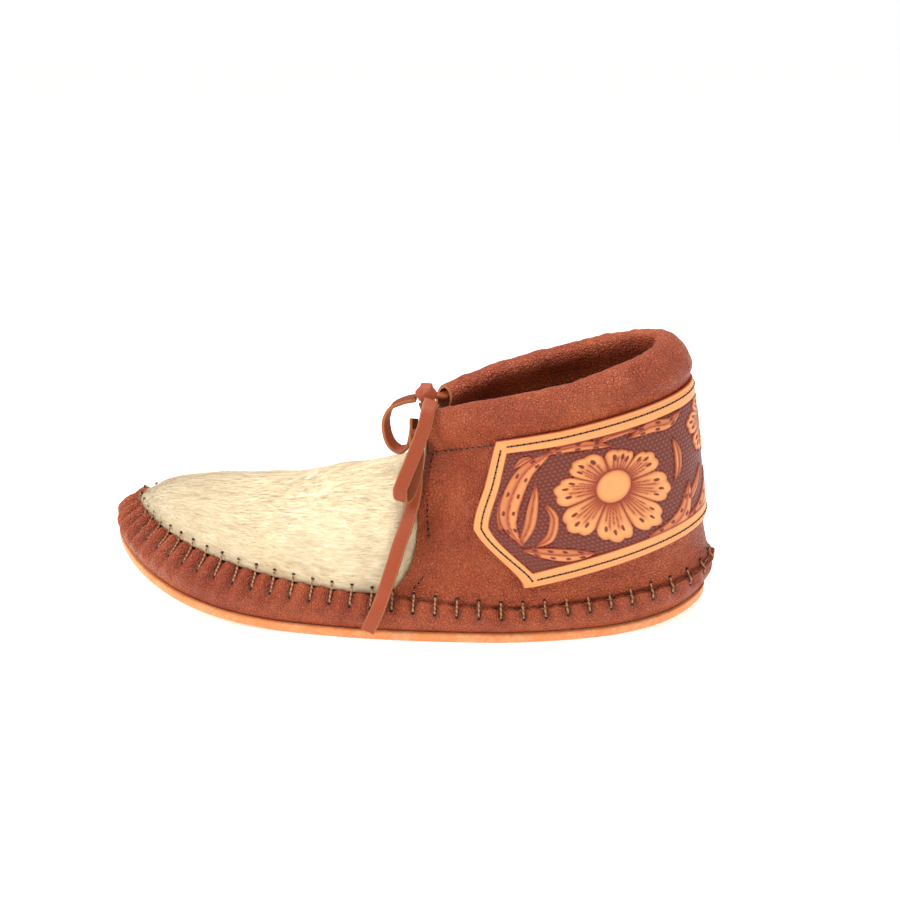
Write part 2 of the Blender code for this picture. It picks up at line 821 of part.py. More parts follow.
def build_lace_bar(finish, collection):
    """Stretch of lace that leaves both ends of the collar and crosses the throat."""
    sweeps = (BAR_HIDDEN, 1.0, -1.0, -BAR_HIDDEN)
    ends = [collar_point(sweep, 0.0, LACE_DEPTH) for sweep in sweeps]
    middle = (ends[1] + ends[2]) / 2.0 + Vector((-BAR_REACH, 0.0, BAR_RISE))
    route = [ends[0], ends[1], middle, ends[2], ends[3]]
    across = [collar_outward(sweep) for sweep in sweeps]
    across = [across[0], across[1], Vector((-1.0, 0.0, 0.0)), across[2], across[3]]
    return lace_strip("lace_bar", route, across, finish, collection)


def build_hanging_lace(finish, collection):
    """Knot, two loops and two ends of the tied lace."""
    ball = bmesh.new()
    bmesh.ops.create_uvsphere(ball, u_segments=14, v_segments=9, radius=1.0)
    for vert in ball.verts:
        vert.co = Vector([KNOT[axis] + vert.co[axis] * KNOT_RADII[axis] for axis in range(3)])
    mesh = bpy.data.meshes.new("lace_knot")
    ball.to_mesh(mesh)
    ball.free()
    mesh.materials.append(finish)
    mesh.shade_smooth()
    collection.objects.link(bpy.data.objects.new("lace_knot", mesh))
    for name, points, across in (
        ("lace_loop_long", LONG_LOOP, LONG_LOOP_ACROSS),
        ("lace_loop_short", SHORT_LOOP, SHORT_LOOP_ACROSS),
        ("lace_tail_outer", OUTER_TAIL, TAIL_ACROSS),
        ("lace_tail_inner", INNER_TAIL, TAIL_ACROSS),
    ):
        route = [Vector(point) for point in points]
        lace_strip(name, route, [Vector(across)] * len(route), finish, collection)


def main():
    """Build every piece of the boot."""
    for old in list(bpy.data.objects):
        bpy.data.objects.remove(old)
    collection = bpy.data.collections.new("moccasin_boot")
    bpy.context.scene.collection.children.link(collection)
    brown = material("pebbled_cowhide", (0.47, 0.12, 0.04), 0.42)
    cream = material("hair_on_hide", (0.88, 0.74, 0.53), 0.85)
    sole_leather = material("sole_leather", (0.80, 0.36, 0.13), 0.55)
    tooled = material("tooled_leather", (0.72, 0.33, 0.12), 0.45)
    lace = material("lace_leather", (0.42, 0.11, 0.04), 0.55)
    build_outsole(sole_leather, collection)
    build_insole(sole_leather, collection)
    build_upper(brown, collection)
    build_plug_tongue(cream, collection)
    build_collar_roll(brown, collection)
    build_heel_panel(tooled, collection)
    build_lace_bar(lace, collection)
    build_hanging_lace(lace, collection)


main()
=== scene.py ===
"""Looks of a left moccasin boot.

The boot is pebbled cowhide with a hair-on hide plug, a tooled panel round the heel and a
leather lace. X runs from the toe (-) to the heel (+), Y points to the inner side of the foot
and Z is up, in metres. Every leather sheet is a grid of points over one last, with its creases
and folds moved along the grid's normals.
"""

import logging
import math
from dataclasses import dataclass
from dataclasses import field
from typing import NamedTuple

import bpy
import numpy as np
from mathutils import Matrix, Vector


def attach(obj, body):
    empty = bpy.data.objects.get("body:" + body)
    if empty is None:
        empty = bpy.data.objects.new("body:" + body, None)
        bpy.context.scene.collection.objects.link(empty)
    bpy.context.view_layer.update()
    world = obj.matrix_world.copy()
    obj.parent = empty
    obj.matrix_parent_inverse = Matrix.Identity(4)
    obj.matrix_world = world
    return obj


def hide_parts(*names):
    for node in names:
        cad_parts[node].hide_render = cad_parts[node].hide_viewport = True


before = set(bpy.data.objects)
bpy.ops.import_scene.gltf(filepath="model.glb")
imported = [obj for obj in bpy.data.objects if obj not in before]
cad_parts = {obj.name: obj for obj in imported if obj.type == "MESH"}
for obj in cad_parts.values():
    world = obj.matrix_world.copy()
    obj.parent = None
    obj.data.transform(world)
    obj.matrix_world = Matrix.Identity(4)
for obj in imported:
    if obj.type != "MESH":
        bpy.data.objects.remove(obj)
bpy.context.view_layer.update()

BODY = "root"
MM = 0.001
TAU = 2.0 * math.pi

log = logging.getLogger("moccasin_boot")

Array = np.ndarray
Socket = bpy.types.NodeSocket


def smoothstep(value: Array) -> Array:
    """Ease values from 0 to 1."""
    value = np.clip(value, 0.0, 1.0)
    return value * value * (3.0 - 2.0 * value)


def between(first: Array, last: Array, part: Array) -> Array:
    """Values at a part of the way from first to last."""
    return first + (last - first) * part


def hermite(values: Array, knots: Array, at: Array) -> Array:
    """Smooth curve through values.

    Args:
        values: One value or point for each knot, on the first axis.
        knots: Rising places of the values.
        at: Places to read the curve at.

    Returns:
        The curve's values, with the shape of at before the shape of one value.
    """
    values = np.asarray(values, float)
    knots = np.asarray(knots, float)
    at = np.clip(np.asarray(at, float), knots[0], knots[-1])
    index = np.clip(np.searchsorted(knots, at, side="right") - 1, 0, len(knots) - 2)
    extra = (1,) * (values.ndim - 1)
    before = np.maximum(np.arange(len(knots)) - 1, 0)
    after = np.minimum(np.arange(len(knots)) + 1, len(knots) - 1)
    slopes = (values[after] - values[before]) / (knots[after] - knots[before]).reshape((-1,) + extra)
    span = (knots[index + 1] - knots[index]).reshape(at.shape + extra)
    part = ((at - knots[index]).reshape(at.shape + extra)) / span
    rest = 1.0 - part
    start = values[index] * (rest * rest * (1.0 + 2.0 * part))
    end = values[index + 1] * (part * part * (3.0 - 2.0 * part))
    turn = slopes[index] * (part * rest * rest * span) - slopes[index + 1] * (part * part * rest * span)
    return start + end + turn


def unit(vectors: Array) -> Array:
    """Vectors scaled to a length of one."""
    return vectors / np.maximum(np.linalg.norm(vectors, axis=-1, keepdims=True), 1e-12)


def grid_normals(points: Array) -> Array:
    """Unit normals of a grid of points: the second axis's run crossed with the first's."""
    first = np.gradient(points, axis=0)
    second = np.gradient(points, axis=1)
    return unit(np.cross(second, first))


class Noise:
    """Smooth seeded noise over a plane, from -1 to 1."""

    SIZE = 64

    def __init__(self, seed: int) -> None:
        """Fill the lattice from the seed."""
        self.lattice = np.random.default_rng(seed).uniform(-1.0, 1.0, (self.SIZE, self.SIZE))

    def at(self, x: Array, y: Array) -> Array:
        """Noise at points given in cells of the lattice."""
        x, y = np.broadcast_arrays(np.asarray(x, float), np.asarray(y, float))
        column = np.floor(x).astype(int)
        row = np.floor(y).astype(int)
        across = smoothstep(x - column)
        up = smoothstep(y - row)
        corner = [
            self.lattice[(column + i) % self.SIZE, (row + j) % self.SIZE]
            for i, j in ((0, 0), (1, 0), (0, 1), (1, 1))
        ]
        return between(between(corner[0], corner[1], across), between(corner[2], corner[3], across), up)

    def layered(self, x: Array, y: Array, layers: int = 3) -> Array:
        """Sum of layers of noise, each twice as fine and half as strong."""
        total = 0.0
        for layer in range(layers):
            total = total + self.at(x * 2.0 ** layer + 7.3 * layer, y * 2.0 ** layer) / 2.0 ** layer
        return total / 1.75


class Station(NamedTuple):
    """Sole's half widths as shares of the local breadth, at a share of the length from the heel."""

    along: float
    outer: float
    inner: float
    axis: float


class Seam(NamedTuple):
    """Top of the wall: inset as a share of the ball's width, rise as a share of the wall's height."""

    along: float
    inset: float
    rise: float


class Ring(NamedTuple):
    """Ring round the ankle: reaches are shares of the sole's length, widths of the heel's width."""

    back: float
    middle: float
    front: float
    axis: float
    outer: float
    inner: float
    sweep: float
    back_rise: float
    side_rise: float
    front_rise: float


@dataclass(frozen=True)
class Last:
    """The shape that every sheet of leather lies on, in metres."""

    sole_length: float = 0.280
    ball_width: float = 0.102
    heel_width: float = 0.078
    collar_back: float = 0.1245
    collar_side: float = 0.1146
    collar_front: float = 0.0936
    instep_height: float = 0.064
    wall_height: float = 0.0195
    sole_thickness: float = 0.0042
    toe_spring: float = 0.018
    heel_spring: float = 0.0065
    flat_back: float = 0.17
    flat_front: float = 0.60
    leather: float = 0.0022
    gap: float = 0.0003
    feather_inset: float = 0.0015
    wall_bulge: float = 0.0025
    wall_lean: float = 2.2
    seam_sweep: float = 89.2
    quarter_tuck: float = 0.0065

    OUTLINE = (
        Station(0.00, 0.641, 0.641, -0.064),
        Station(0.05, 0.672, 0.655, -0.059),
        Station(0.12, 0.668, 0.655, -0.050),
        Station(0.20, 0.667, 0.602, -0.040),
        Station(0.30, 0.635, 0.506, -0.024),
        Station(0.40, 0.579, 0.435, -0.013),
        Station(0.50, 0.542, 0.420, -0.006),
        Station(0.60, 0.535, 0.445, 0.000),
        Station(0.70, 0.562, 0.500, 0.008),
        Station(0.78, 0.591, 0.529, 0.018),
        Station(0.86, 0.601, 0.541, 0.031),
        Station(0.93, 0.578, 0.535, 0.047),
        Station(1.00, 0.510, 0.510, 0.075),
    )
    SEAM = (
        Seam(0.00, -0.005, 0.770),
        Seam(0.05, 0.005, 0.740),
        Seam(0.12, 0.020, 0.740),
        Seam(0.20, 0.034, 0.640),
        Seam(0.30, 0.044, 0.530),
        Seam(0.40, 0.049, 0.610),
        Seam(0.50, 0.062, 0.730),
        Seam(0.60, 0.083, 0.800),
        Seam(0.70, 0.096, 0.920),
        Seam(0.78, 0.105, 1.000),
        Seam(0.86, 0.113, 0.980),
        Seam(0.93, 0.118, 0.890),
        Seam(1.00, 0.118, 0.720),
    )
    RINGS = (
        Ring(0.4907, 0.221, -0.2390, -0.026, 0.526, 0.436, 113.8, 0.305, 0.253, 0.331),
        Ring(0.4768, 0.243, -0.0390, -0.026, 0.494, 0.432, 135.5, 0.482, 0.445, 0.556),
        Ring(0.4618, 0.250, -0.0046, -0.026, 0.462, 0.430, 143.3, 0.675, 0.654, 0.726),
        Ring(0.4429, 0.254, 0.0250, -0.026, 0.436, 0.427, 150.5, 0.863, 0.855, 0.823),
    )
    TOP_RING = Ring(0.4214, 0.257, 0.0286, -0.026, 0.397, 0.397, 148.4, 1.0, 1.0, 1.0)

    @staticmethod
    def column(table: tuple, name: str, at: Array) -> Array:
        """Named column of a table, read smoothly at its first column's value."""
        return hermite([getattr(row, name) for row in table], [row[0] for row in table], at)

    @staticmethod
    def three_heights(back: float, side: float, front: float, sweep: Array) -> Array:
        """Height level at the heel, side half way round at a sweep of 0.5 and front at 1."""
        bow = (16.0 * (side - back) - (front - back)) / 3.0
        return back + bow * sweep ** 2 + (front - back - bow) * sweep ** 4

    def along(self, x: Array) -> Array:
        """Share of the sole's length between the heel and x."""
        return np.clip(0.5 - x / self.sole_length, 0.0, 1.0)

    def floor_rise(self, x: Array) -> Array:
        """Height of the sole's underside above the floor."""
        along = self.along(x)
        front = np.maximum((along - self.flat_front) / (1.0 - self.flat_front), 0.0)
        back = np.maximum((self.flat_back - along) / self.flat_back, 0.0)
        return self.toe_spring * front ** 2 + self.heel_spring * back ** 2

    def sole_top(self, x: Array) -> Array:
        """Height of the sole's upper face."""
        return self.floor_rise(x) + self.sole_thickness

    def sole_edge(self, angle: Array) -> Array:
        """Points of the sole's outline; 0 is the heel and pi the toe, the outer side first."""
        angle = np.asarray(angle, float)
        along = (1.0 - np.cos(angle)) / 2.0
        breadth = between(self.heel_width, self.ball_width, smoothstep((along - 0.15) / 0.45))
        outer = self.column(self.OUTLINE, "outer", along)
        inner = self.column(self.OUTLINE, "inner", along)
        half = np.where(np.sin(angle) >= 0.0, outer, inner) * breadth
        axis = self.column(self.OUTLINE, "axis", along) * breadth
        return np.stack([self.sole_length * (0.5 - along), axis - half * np.sin(angle),
                         np.zeros_like(along)], axis=-1)

    def inward(self, angle: Array) -> Array:
        """Level direction into the boot at a point of the outline."""
        step = 0.01
        run = self.sole_edge(angle + step) - self.sole_edge(angle - step)
        return unit(np.stack([run[..., 1], -run[..., 0], np.zeros_like(run[..., 0])], axis=-1))

    def ring(self, angle: Array, inset: Array) -> Array:
        """Points inside the sole's outline by the inset."""
        inset = np.asarray(inset, float)
        return self.sole_edge(angle) + self.inward(angle) * inset[..., None]

    def seam_inset(self, angle: Array) -> Array:
        """Inset of the wall's top from the sole's outline."""
        return self.column(self.SEAM, "inset", (1.0 - np.cos(angle)) / 2.0) * self.ball_width

    def seam_height(self, angle: Array) -> Array:
        """Height of the wall's top above the floor."""
        along = (1.0 - np.cos(angle)) / 2.0
        base = self.sole_top(self.sole_edge(angle)[..., 0]) + self.gap
        return base + self.column(self.SEAM, "rise", along) * self.wall_height

    def seam_point(self, angle: Array, inset: Array, drop: Array) -> Array:
        """Points near the wall's top, further in by the inset and lower by the drop."""
        points = self.ring(angle, self.seam_inset(angle) + inset)
        points[..., 2] = self.seam_height(angle) - drop
        return points

    def wall_grid(self, angles: Array, rises: Array) -> Array:
        """Outer face of the wall, from the sole at a rise of 0 to its top edge at 1."""
        angle, rise = np.meshgrid(angles, rises, indexing="ij")
        inset = between(self.feather_inset, self.seam_inset(angle) - self.leather,
                        np.maximum(rise, 0.0) ** self.wall_lean)
        inset = inset - self.wall_bulge * np.sin(math.pi * rise)
        points = self.ring(angle, inset)
        foot = self.ring(angle, np.full_like(angle, self.feather_inset))
        base = self.sole_top(foot[..., 0]) + self.gap
        points[..., 2] = between(base, self.seam_height(angle), rise)
        return points

    def ankle_ring(self, sweep: Array, ring: Ring) -> Array:
        """Points of one ankle ring; the sweep is 0 at the heel and 1 or -1 at the throat."""
        angle = math.radians(ring.sweep) * np.abs(sweep)
        middle = ring.middle * self.sole_length
        reach = np.where(angle < math.pi / 2.0, ring.back, ring.front)
        half_length = np.abs(reach * self.sole_length - middle)
        half_width = np.where(sweep >= 0.0, ring.outer, -ring.inner) * self.heel_width
        height = self.three_heights(ring.back_rise * self.collar_back,
                                    ring.side_rise * self.collar_side,
                                    ring.front_rise * self.collar_front, sweep)
        return np.stack([middle + half_length * np.cos(angle),
                         ring.axis * self.heel_width - half_width * np.sin(angle), height], axis=-1)

    def crest_height(self, sweep: Array) -> Array:
        """Height of the rolled collar's crest."""
        return self.three_heights(self.collar_back, self.collar_side, self.collar_front, sweep)

    def quarter_grid(self, sweeps: Array, levels: Array) -> Array:
        """Outer face of the quarters; level 0 is the seam and 5 the top edge.

        Args:
            sweeps: One sweep for each column.
            levels: Levels as one row for all columns, or as one row for each.

        Returns:
            Points as columns by levels by 3.
        """
        sweeps = np.asarray(sweeps, float)
        levels = np.broadcast_to(np.asarray(levels, float), (len(sweeps), np.shape(levels)[-1]))
        knots = [self.seam_point(math.radians(self.seam_sweep) * sweeps, 0.0, 0.0)]
        knots += [self.ankle_ring(sweeps, ring) for ring in self.RINGS]
        top = self.ankle_ring(sweeps, self.TOP_RING)
        top[..., 2] -= self.quarter_tuck
        knots.append(top)
        places = np.arange(len(knots))
        control = np.stack(knots)
        grid = np.empty(levels.shape + (3,))
        for place in range(len(sweeps)):
            grid[place] = hermite(control[:, place], places, levels[place])
        over = np.maximum(levels - places[-1], 0.0)[..., None]
        under = np.minimum(levels, 0.0)[..., None]
        grid += over * (control[-1] - control[-2])[:, None] + under * (control[1] - control[0])[:, None]
        return grid

    def quarter_normals(self, sweeps: Array, levels: Array) -> Array:
        """Outward normals of the quarters' outer face."""
        step = 0.004
        levels = np.broadcast_to(np.asarray(levels, float), (len(sweeps), np.shape(levels)[-1]))
        across = self.quarter_grid(sweeps + step, levels) - self.quarter_grid(sweeps - step, levels)
        upward = self.quarter_grid(sweeps, levels + step) - self.quarter_grid(sweeps, levels - step)
        return unit(np.cross(upward, across))

    def levels_at(self, sweeps: Array, heights: Array) -> Array:
        """Levels of the quarters at heights, given as columns by rows."""
        fine = np.linspace(0.0, 5.4, 271)
        rise = self.quarter_grid(sweeps, fine)[..., 2]
        return np.stack([np.interp(heights[k], rise[k], fine) for k in range(len(sweeps))])

    def collar_outward(self, sweeps: Array) -> Array:
        """Level directions that point out of the boot at the collar."""
        step = 0.01
        run = self.ankle_ring(sweeps + step, self.TOP_RING) - self.ankle_ring(sweeps - step, self.TOP_RING)
        return unit(np.stack([-run[..., 1], run[..., 0], np.zeros_like(run[..., 0])], axis=-1))

    def collar_grid(self, sweeps: Array, outs: Array, depths: Array) -> Array:
        """Points beside the quarters' middle, below the crest by the depths."""
        outs = np.broadcast_to(outs, (len(sweeps), np.shape(outs)[-1]))
        depths = np.broadcast_to(depths, (len(sweeps), np.shape(depths)[-1]))
        heights = self.crest_height(sweeps)[:, None] - depths
        levels = self.levels_at(sweeps, heights)
        points = self.quarter_grid(sweeps, levels)
        points -= self.quarter_normals(sweeps, levels) * self.leather / 2.0
        points[..., 2] = heights
        return points + self.collar_outward(sweeps)[:, None] * outs[..., None]


class Piece:
    """Points, faces and painted values of one mesh in the making."""

    def __init__(self, name: str) -> None:
        """Start with nothing in the mesh."""
        self.name = name
        self.points: list[Array] = []
        self.faces: list[list[int]] = []
        self.finishes: list[int] = []
        self.values: list[tuple[str, int, Array]] = []
        self.count = 0

    def add(self, points: Array, **values: Array) -> Array:
        """Add points with painted values.

        Args:
            points: Points in any grid shape, with the coordinates last.
            values: Painted values by name, each fitting the grid's shape.

        Returns:
            The new points' numbers in the grid's shape.
        """
        shape = points.shape[:-1]
        flat = points.reshape(-1, 3)
        for name, value in values.items():
            self.values.append((name, self.count, np.broadcast_to(value, shape).reshape(-1)))
        self.points.append(flat)
        self.count += len(flat)
        return np.arange(self.count - len(flat), self.count).reshape(shape)

    def quads(self, first: Array, second: Array, third: Array, fourth: Array, finish: int = 0) -> None:
        """Add one face for each set of four point numbers."""
        faces = np.stack([first, second, third, fourth], axis=-1).reshape(-1, 4).tolist()
        self.faces += faces
        self.finishes += [finish] * len(faces)

    def grid(self, index: Array, finish: int = 0, round_first: bool = False,
             round_second: bool = False) -> None:
        """Add the faces of a grid of point numbers, closed round where asked."""
        if round_first:
            index = np.concatenate([index, index[:1]], axis=0)
        if round_second:
            index = np.concatenate([index, index[:, :1]], axis=1)
        self.quads(index[:-1, :-1], index[1:, :-1], index[1:, 1:], index[:-1, 1:], finish)

    def strip(self, first: Array, second: Array, finish: int = 0) -> None:
        """Add the faces between two lines of point numbers."""
        self.quads(first[:-1], first[1:], second[1:], second[:-1], finish)

    def polygon(self, index: Array, finish: int = 0) -> None:
        """Add one face through all the point numbers."""
        self.faces.append([int(number) for number in index])
        self.finishes.append(finish)

    def tubes(self, paths: Array, ups: Array, wide: Array, thick: Array, sides: int = 8,
              square: float = 1.0, finish: int = 0) -> None:
        """Add closed tubes, one along each path.

        Args:
            paths: Points as tubes by steps by 3.
            ups: Directions of the tube's thin way, fitting the paths.
            wide: Half width for each step.
            thick: Half thickness for each step.
            sides: Points round the tube.
            square: Roundness of the section, 1 for an ellipse and less for a flat strip.
            finish: Number of the tubes' finish.
        """
        run = unit(np.gradient(paths, axis=1))
        across = unit(np.cross(run, np.broadcast_to(ups, paths.shape)))
        over = np.cross(across, run)
        turn = TAU * (np.arange(sides) + 0.5) / sides
        side = np.sign(np.cos(turn)) * np.abs(np.cos(turn)) ** square
        rise = np.sign(np.sin(turn)) * np.abs(np.sin(turn)) ** square
        wide = np.broadcast_to(wide, paths.shape[:2])[..., None, None]
        thick = np.broadcast_to(thick, paths.shape[:2])[..., None, None]
        shape = paths[:, :, None] + across[:, :, None] * (side[:, None] * wide)
        shape = shape + over[:, :, None] * (rise[:, None] * thick)
        grain = np.broadcast_to(rise > 0.0, shape.shape[:3]).astype(float)
        rim = np.broadcast_to(np.abs(side) > 0.93, shape.shape[:3]).astype(float)
        index = self.add(shape, grain_side=grain, cut_side=rim)
        index_round = np.concatenate([index, index[:, :, :1]], axis=2)
        self.quads(index_round[:, :-1, :-1], index_round[:, :-1, 1:],
                   index_round[:, 1:, 1:], index_round[:, 1:, :-1], finish)
        for place in range(len(index)):
            self.polygon(index[place, 0][::-1], finish)
            self.polygon(index[place, -1], finish)

    def dots(self, centres: Array, normals: Array, radius: float, height: float,
             finish: int = 0) -> None:
        """Add small round domes on a surface, such as the dark mouths of stitch holes, which are painted
        shade.
        """
        helper = np.where(np.abs(normals[:, 2:]) > 0.9, [[1.0, 0.0, 0.0]], [[0.0, 0.0, 1.0]])
        first = unit(np.cross(normals, helper))
        second = np.cross(normals, first)
        turn = TAU * np.arange(8) / 8
        circle = first[:, None] * np.cos(turn)[:, None] + second[:, None] * np.sin(turn)[:, None]
        rings = []
        for reach, rise in ((1.0, -1.0), (1.0, 0.0), (0.7, 0.8)):
            rings.append(centres[:, None] + circle * (radius * reach)
                         + normals[:, None] * (height * rise))
        index = self.add(np.stack(rings, axis=1))
        index_round = np.concatenate([index, index[:, :, :1]], axis=2)
        self.quads(index_round[:, :-1, :-1], index_round[:, :-1, 1:],
                   index_round[:, 1:, 1:], index_round[:, 1:, :-1], finish)
        for place in range(len(index)):
            self.polygon(index[place, 0][::-1], finish)
            self.polygon(index[place, -1], finish)

    def build(self, materials: list[bpy.types.Material], slot: str, nodes: tuple[str, ...] = (),
              sharp: float = 50.0) -> bpy.types.Object:
        """Make the object, put it in the scene and hide the imported parts it stands for.

        Args:
            materials: The finishes in the order of their numbers.
            slot: Not used.
            nodes: The nodes of the frame that this piece stands for.
            sharp: Angle in degrees from which an edge stays sharp.

        Returns:
            The object, riding on the boot's body.
        """
        mesh = bpy.data.meshes.new(self.name)
        mesh.from_pydata(np.concatenate(self.points).tolist(), [], self.faces)
        for finish in materials:
            mesh.materials.append(finish)
        mesh.polygons.foreach_set("material_index", self.finishes)
        painted = {name: np.zeros(self.count, np.float32) for name, _, _ in self.values}
        for name, start, value in self.values:
            painted[name][start:start + len(value)] = value
        for name, value in painted.items():
            mesh.attributes.new(name, "FLOAT", "POINT").data.foreach_set("value", value)
        mesh.shade_smooth()
        mesh.set_sharp_from_angle(angle=math.radians(sharp))
        mesh.update()
        made = bpy.data.objects.new(self.name, mesh)
        bpy.context.scene.collection.objects.link(made)
        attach(made, BODY)
        if nodes:
            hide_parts(*nodes)
        log.info("%s: %d faces", self.name, len(self.faces))
        return made


def linear(code: str) -> tuple[float, float, float, float]:
    """Linear colour of an sRGB hex code."""
    parts = [int(code[place:place + 2], 16) / 255.0 for place in (1, 3, 5)]
    parts = [part / 12.92 if part <= 0.04045 else ((part + 0.055) / 1.055) ** 2.4 for part in parts]
    return (*parts, 1.0)


def add_node(tree: bpy.types.NodeTree, kind: str, links: dict | None = None,
             **settings: object) -> bpy.types.Node:
    """Add a shader node.

    Args:
        tree: The material's node tree.
        kind: The node's type.
        links: Sockets or plain values by the input's name or number.
        settings: The node's own settings.

    Returns:
        The new node.
    """
    node = tree.nodes.new(kind)
    for name, value in settings.items():
        setattr(node, name, value)
    for name, value in (links or {}).items():
        if isinstance(value, bpy.types.NodeSocket):
            tree.links.new(value, node.inputs[name])
        else:
            node.inputs[name].default_value = value
    return node


def per_mm(size: float) -> float:
    """Texture scale that gives one cell for each size in millimetres."""
    return 1.0 / (size * MM)


class Recipe:
    """One material in the making, with short calls for the nodes that every leather uses."""

    def __init__(self, name: str, **values: object) -> None:
        """Start the material and set plain values on its shader."""
        self.made = bpy.data.materials.new(name)
        self.made.use_nodes = True
        self.tree = self.made.node_tree
        self.shader = self.tree.nodes["Principled BSDF"]
        self.place = self.add("ShaderNodeTexCoord").outputs["Object"]
        for key, value in values.items():
            self.shader.inputs[key.replace("_", " ")].default_value = value

    def add(self, kind: str, links: dict | None = None, **settings: object) -> bpy.types.Node:
        """Add a node to this material."""
        return add_node(self.tree, kind, links, **settings)

    def noise(self, place: Socket, scale: float, detail: float = 2.0, roughness: float = 0.5,
              distortion: float = 0.0) -> bpy.types.Node:
        """Noise texture at a place."""
        return self.add("ShaderNodeTexNoise", {"Vector": place, "Scale": scale, "Detail": detail,
                                               "Roughness": roughness, "Distortion": distortion})

    def span(self, value: Socket, low: float, high: float, to_low: float = 0.0, to_high: float = 1.0,
             **settings: object) -> Socket:
        """Value stretched from one span to another."""
        return self.add("ShaderNodeMapRange", {"Value": value, "From Min": low, "From Max": high,
                                               "To Min": to_low, "To Max": to_high},
                        **settings).outputs[0]

    def mix(self, part: Socket | float, first: Socket | str, second: Socket | str) -> Socket:
        """Blend of two colours, each a socket or a hex code."""
        sides = [linear(side) if isinstance(side, str) else side for side in (first, second)]
        return self.add("ShaderNodeMix", {0: part, 6: sides[0], 7: sides[1]},
                        data_type="RGBA").outputs[2]

    def moved(self, push: Socket, reach: tuple[float, float, float]) -> Socket:
        """The place, pushed about by a noise's colour times a reach in metres."""
        scaled = self.add("ShaderNodeVectorMath", {0: push, 1: reach}, operation="MULTIPLY")
        return self.add("ShaderNodeVectorMath", {0: self.place, 1: scaled.outputs[0]},
                        operation="ADD").outputs[0]

    def stretched(self, place: Socket, along: float, across: float) -> Socket:
        """A place scaled to cells of the given millimetres along X and across it."""
        scale = (per_mm(along), per_mm(across), per_mm(across))
        return self.add("ShaderNodeMapping", {"Vector": place, "Scale": scale}).outputs[0]

    def painted(self, name: str) -> Socket:
        """Painted value of the mesh."""
        return self.add("ShaderNodeAttribute", attribute_name=name).outputs["Fac"]

    def bump(self, height: Socket, strength: float, distance: float,
             normal: Socket | None = None) -> Socket:
        """Bump from a height, over another bump where one is given."""
        links = {"Height": height, "Strength": strength, "Distance": distance}
        if normal is not None:
            links["Normal"] = normal
        return self.add("ShaderNodeBump", links).outputs[0]

    def finish(self, **sockets: Socket) -> bpy.types.Material:
        """Link the shader's inputs and hand over the material."""
        for key, socket in sockets.items():
            self.tree.links.new(socket, self.shader.inputs[key.replace("_", " ")])
        return self.made


@dataclass(frozen=True)
class PebbledCowhide:
    """Full-grain cowhide, drum dyed and milled so that the grain stands up in soft pebbles."""

    name: str = "pebbled_cowhide"
    body: str = "#B04A22"
    deep: str = "#822E12"
    raised: str = "#C4683C"
    # Colour of the painted shade in the folds' valleys and along the wall's foot.
    groove: str = "#3A1208"
    pebble_mm: float = 1.5
    wrinkle_mm: float = 5.5
    cloud_mm: float = 26.0
    stir_mm: float = 3.0
    stir_reach: float = 0.0012
    roughness: float = 0.42

    def build(self) -> bpy.types.Material:
        """Material whose pebbles catch small highlights and whose colour clouds a little."""
        recipe = Recipe(self.name, IOR=1.42)
        stir = recipe.noise(recipe.place, per_mm(self.stir_mm))
        moved = recipe.moved(stir.outputs["Color"], (self.stir_reach,) * 3)
        pebble = recipe.add("ShaderNodeTexVoronoi", {"Vector": moved, "Scale": per_mm(self.pebble_mm)},
                            feature="DISTANCE_TO_EDGE")
        mound = recipe.span(pebble.outputs["Distance"], 0.0, 0.28, interpolation_type="SMOOTHSTEP")
        wrinkle = recipe.noise(moved, per_mm(self.wrinkle_mm), 5.0, 0.62, 0.8).outputs["Fac"]
        cloud = recipe.noise(recipe.place, per_mm(self.cloud_mm), 3.0, 0.55).outputs["Fac"]
        tone = recipe.mix(recipe.span(cloud, 0.35, 0.68), self.deep, self.raised)
        even = recipe.mix(0.45, self.body, tone)
        # Painted shade: the crevices between the pebbles are darkened towards the deep colour.
        crevice_shaded = recipe.mix(recipe.span(mound, 0.0, 1.0, 0.34, 0.0), even, self.deep)
        # Painted shade: the mesh's painted "shade" attribute blends in the groove colour in the wall's
        # fold valleys, along its foot, over its turned top edge and on the quarters' lowest rows.
        wear_and_shade = recipe.mix(recipe.painted("shade"), crevice_shaded, self.groove)
        gloss = recipe.span(wrinkle, 0.3, 0.7, self.roughness - 0.07, self.roughness + 0.12)
        soft = recipe.bump(wrinkle, 0.9, 0.0019)
        return recipe.finish(Base_Color=wear_and_shade, Roughness=gloss,
                             Normal=recipe.bump(mound, 1.0, 0.00045, soft))


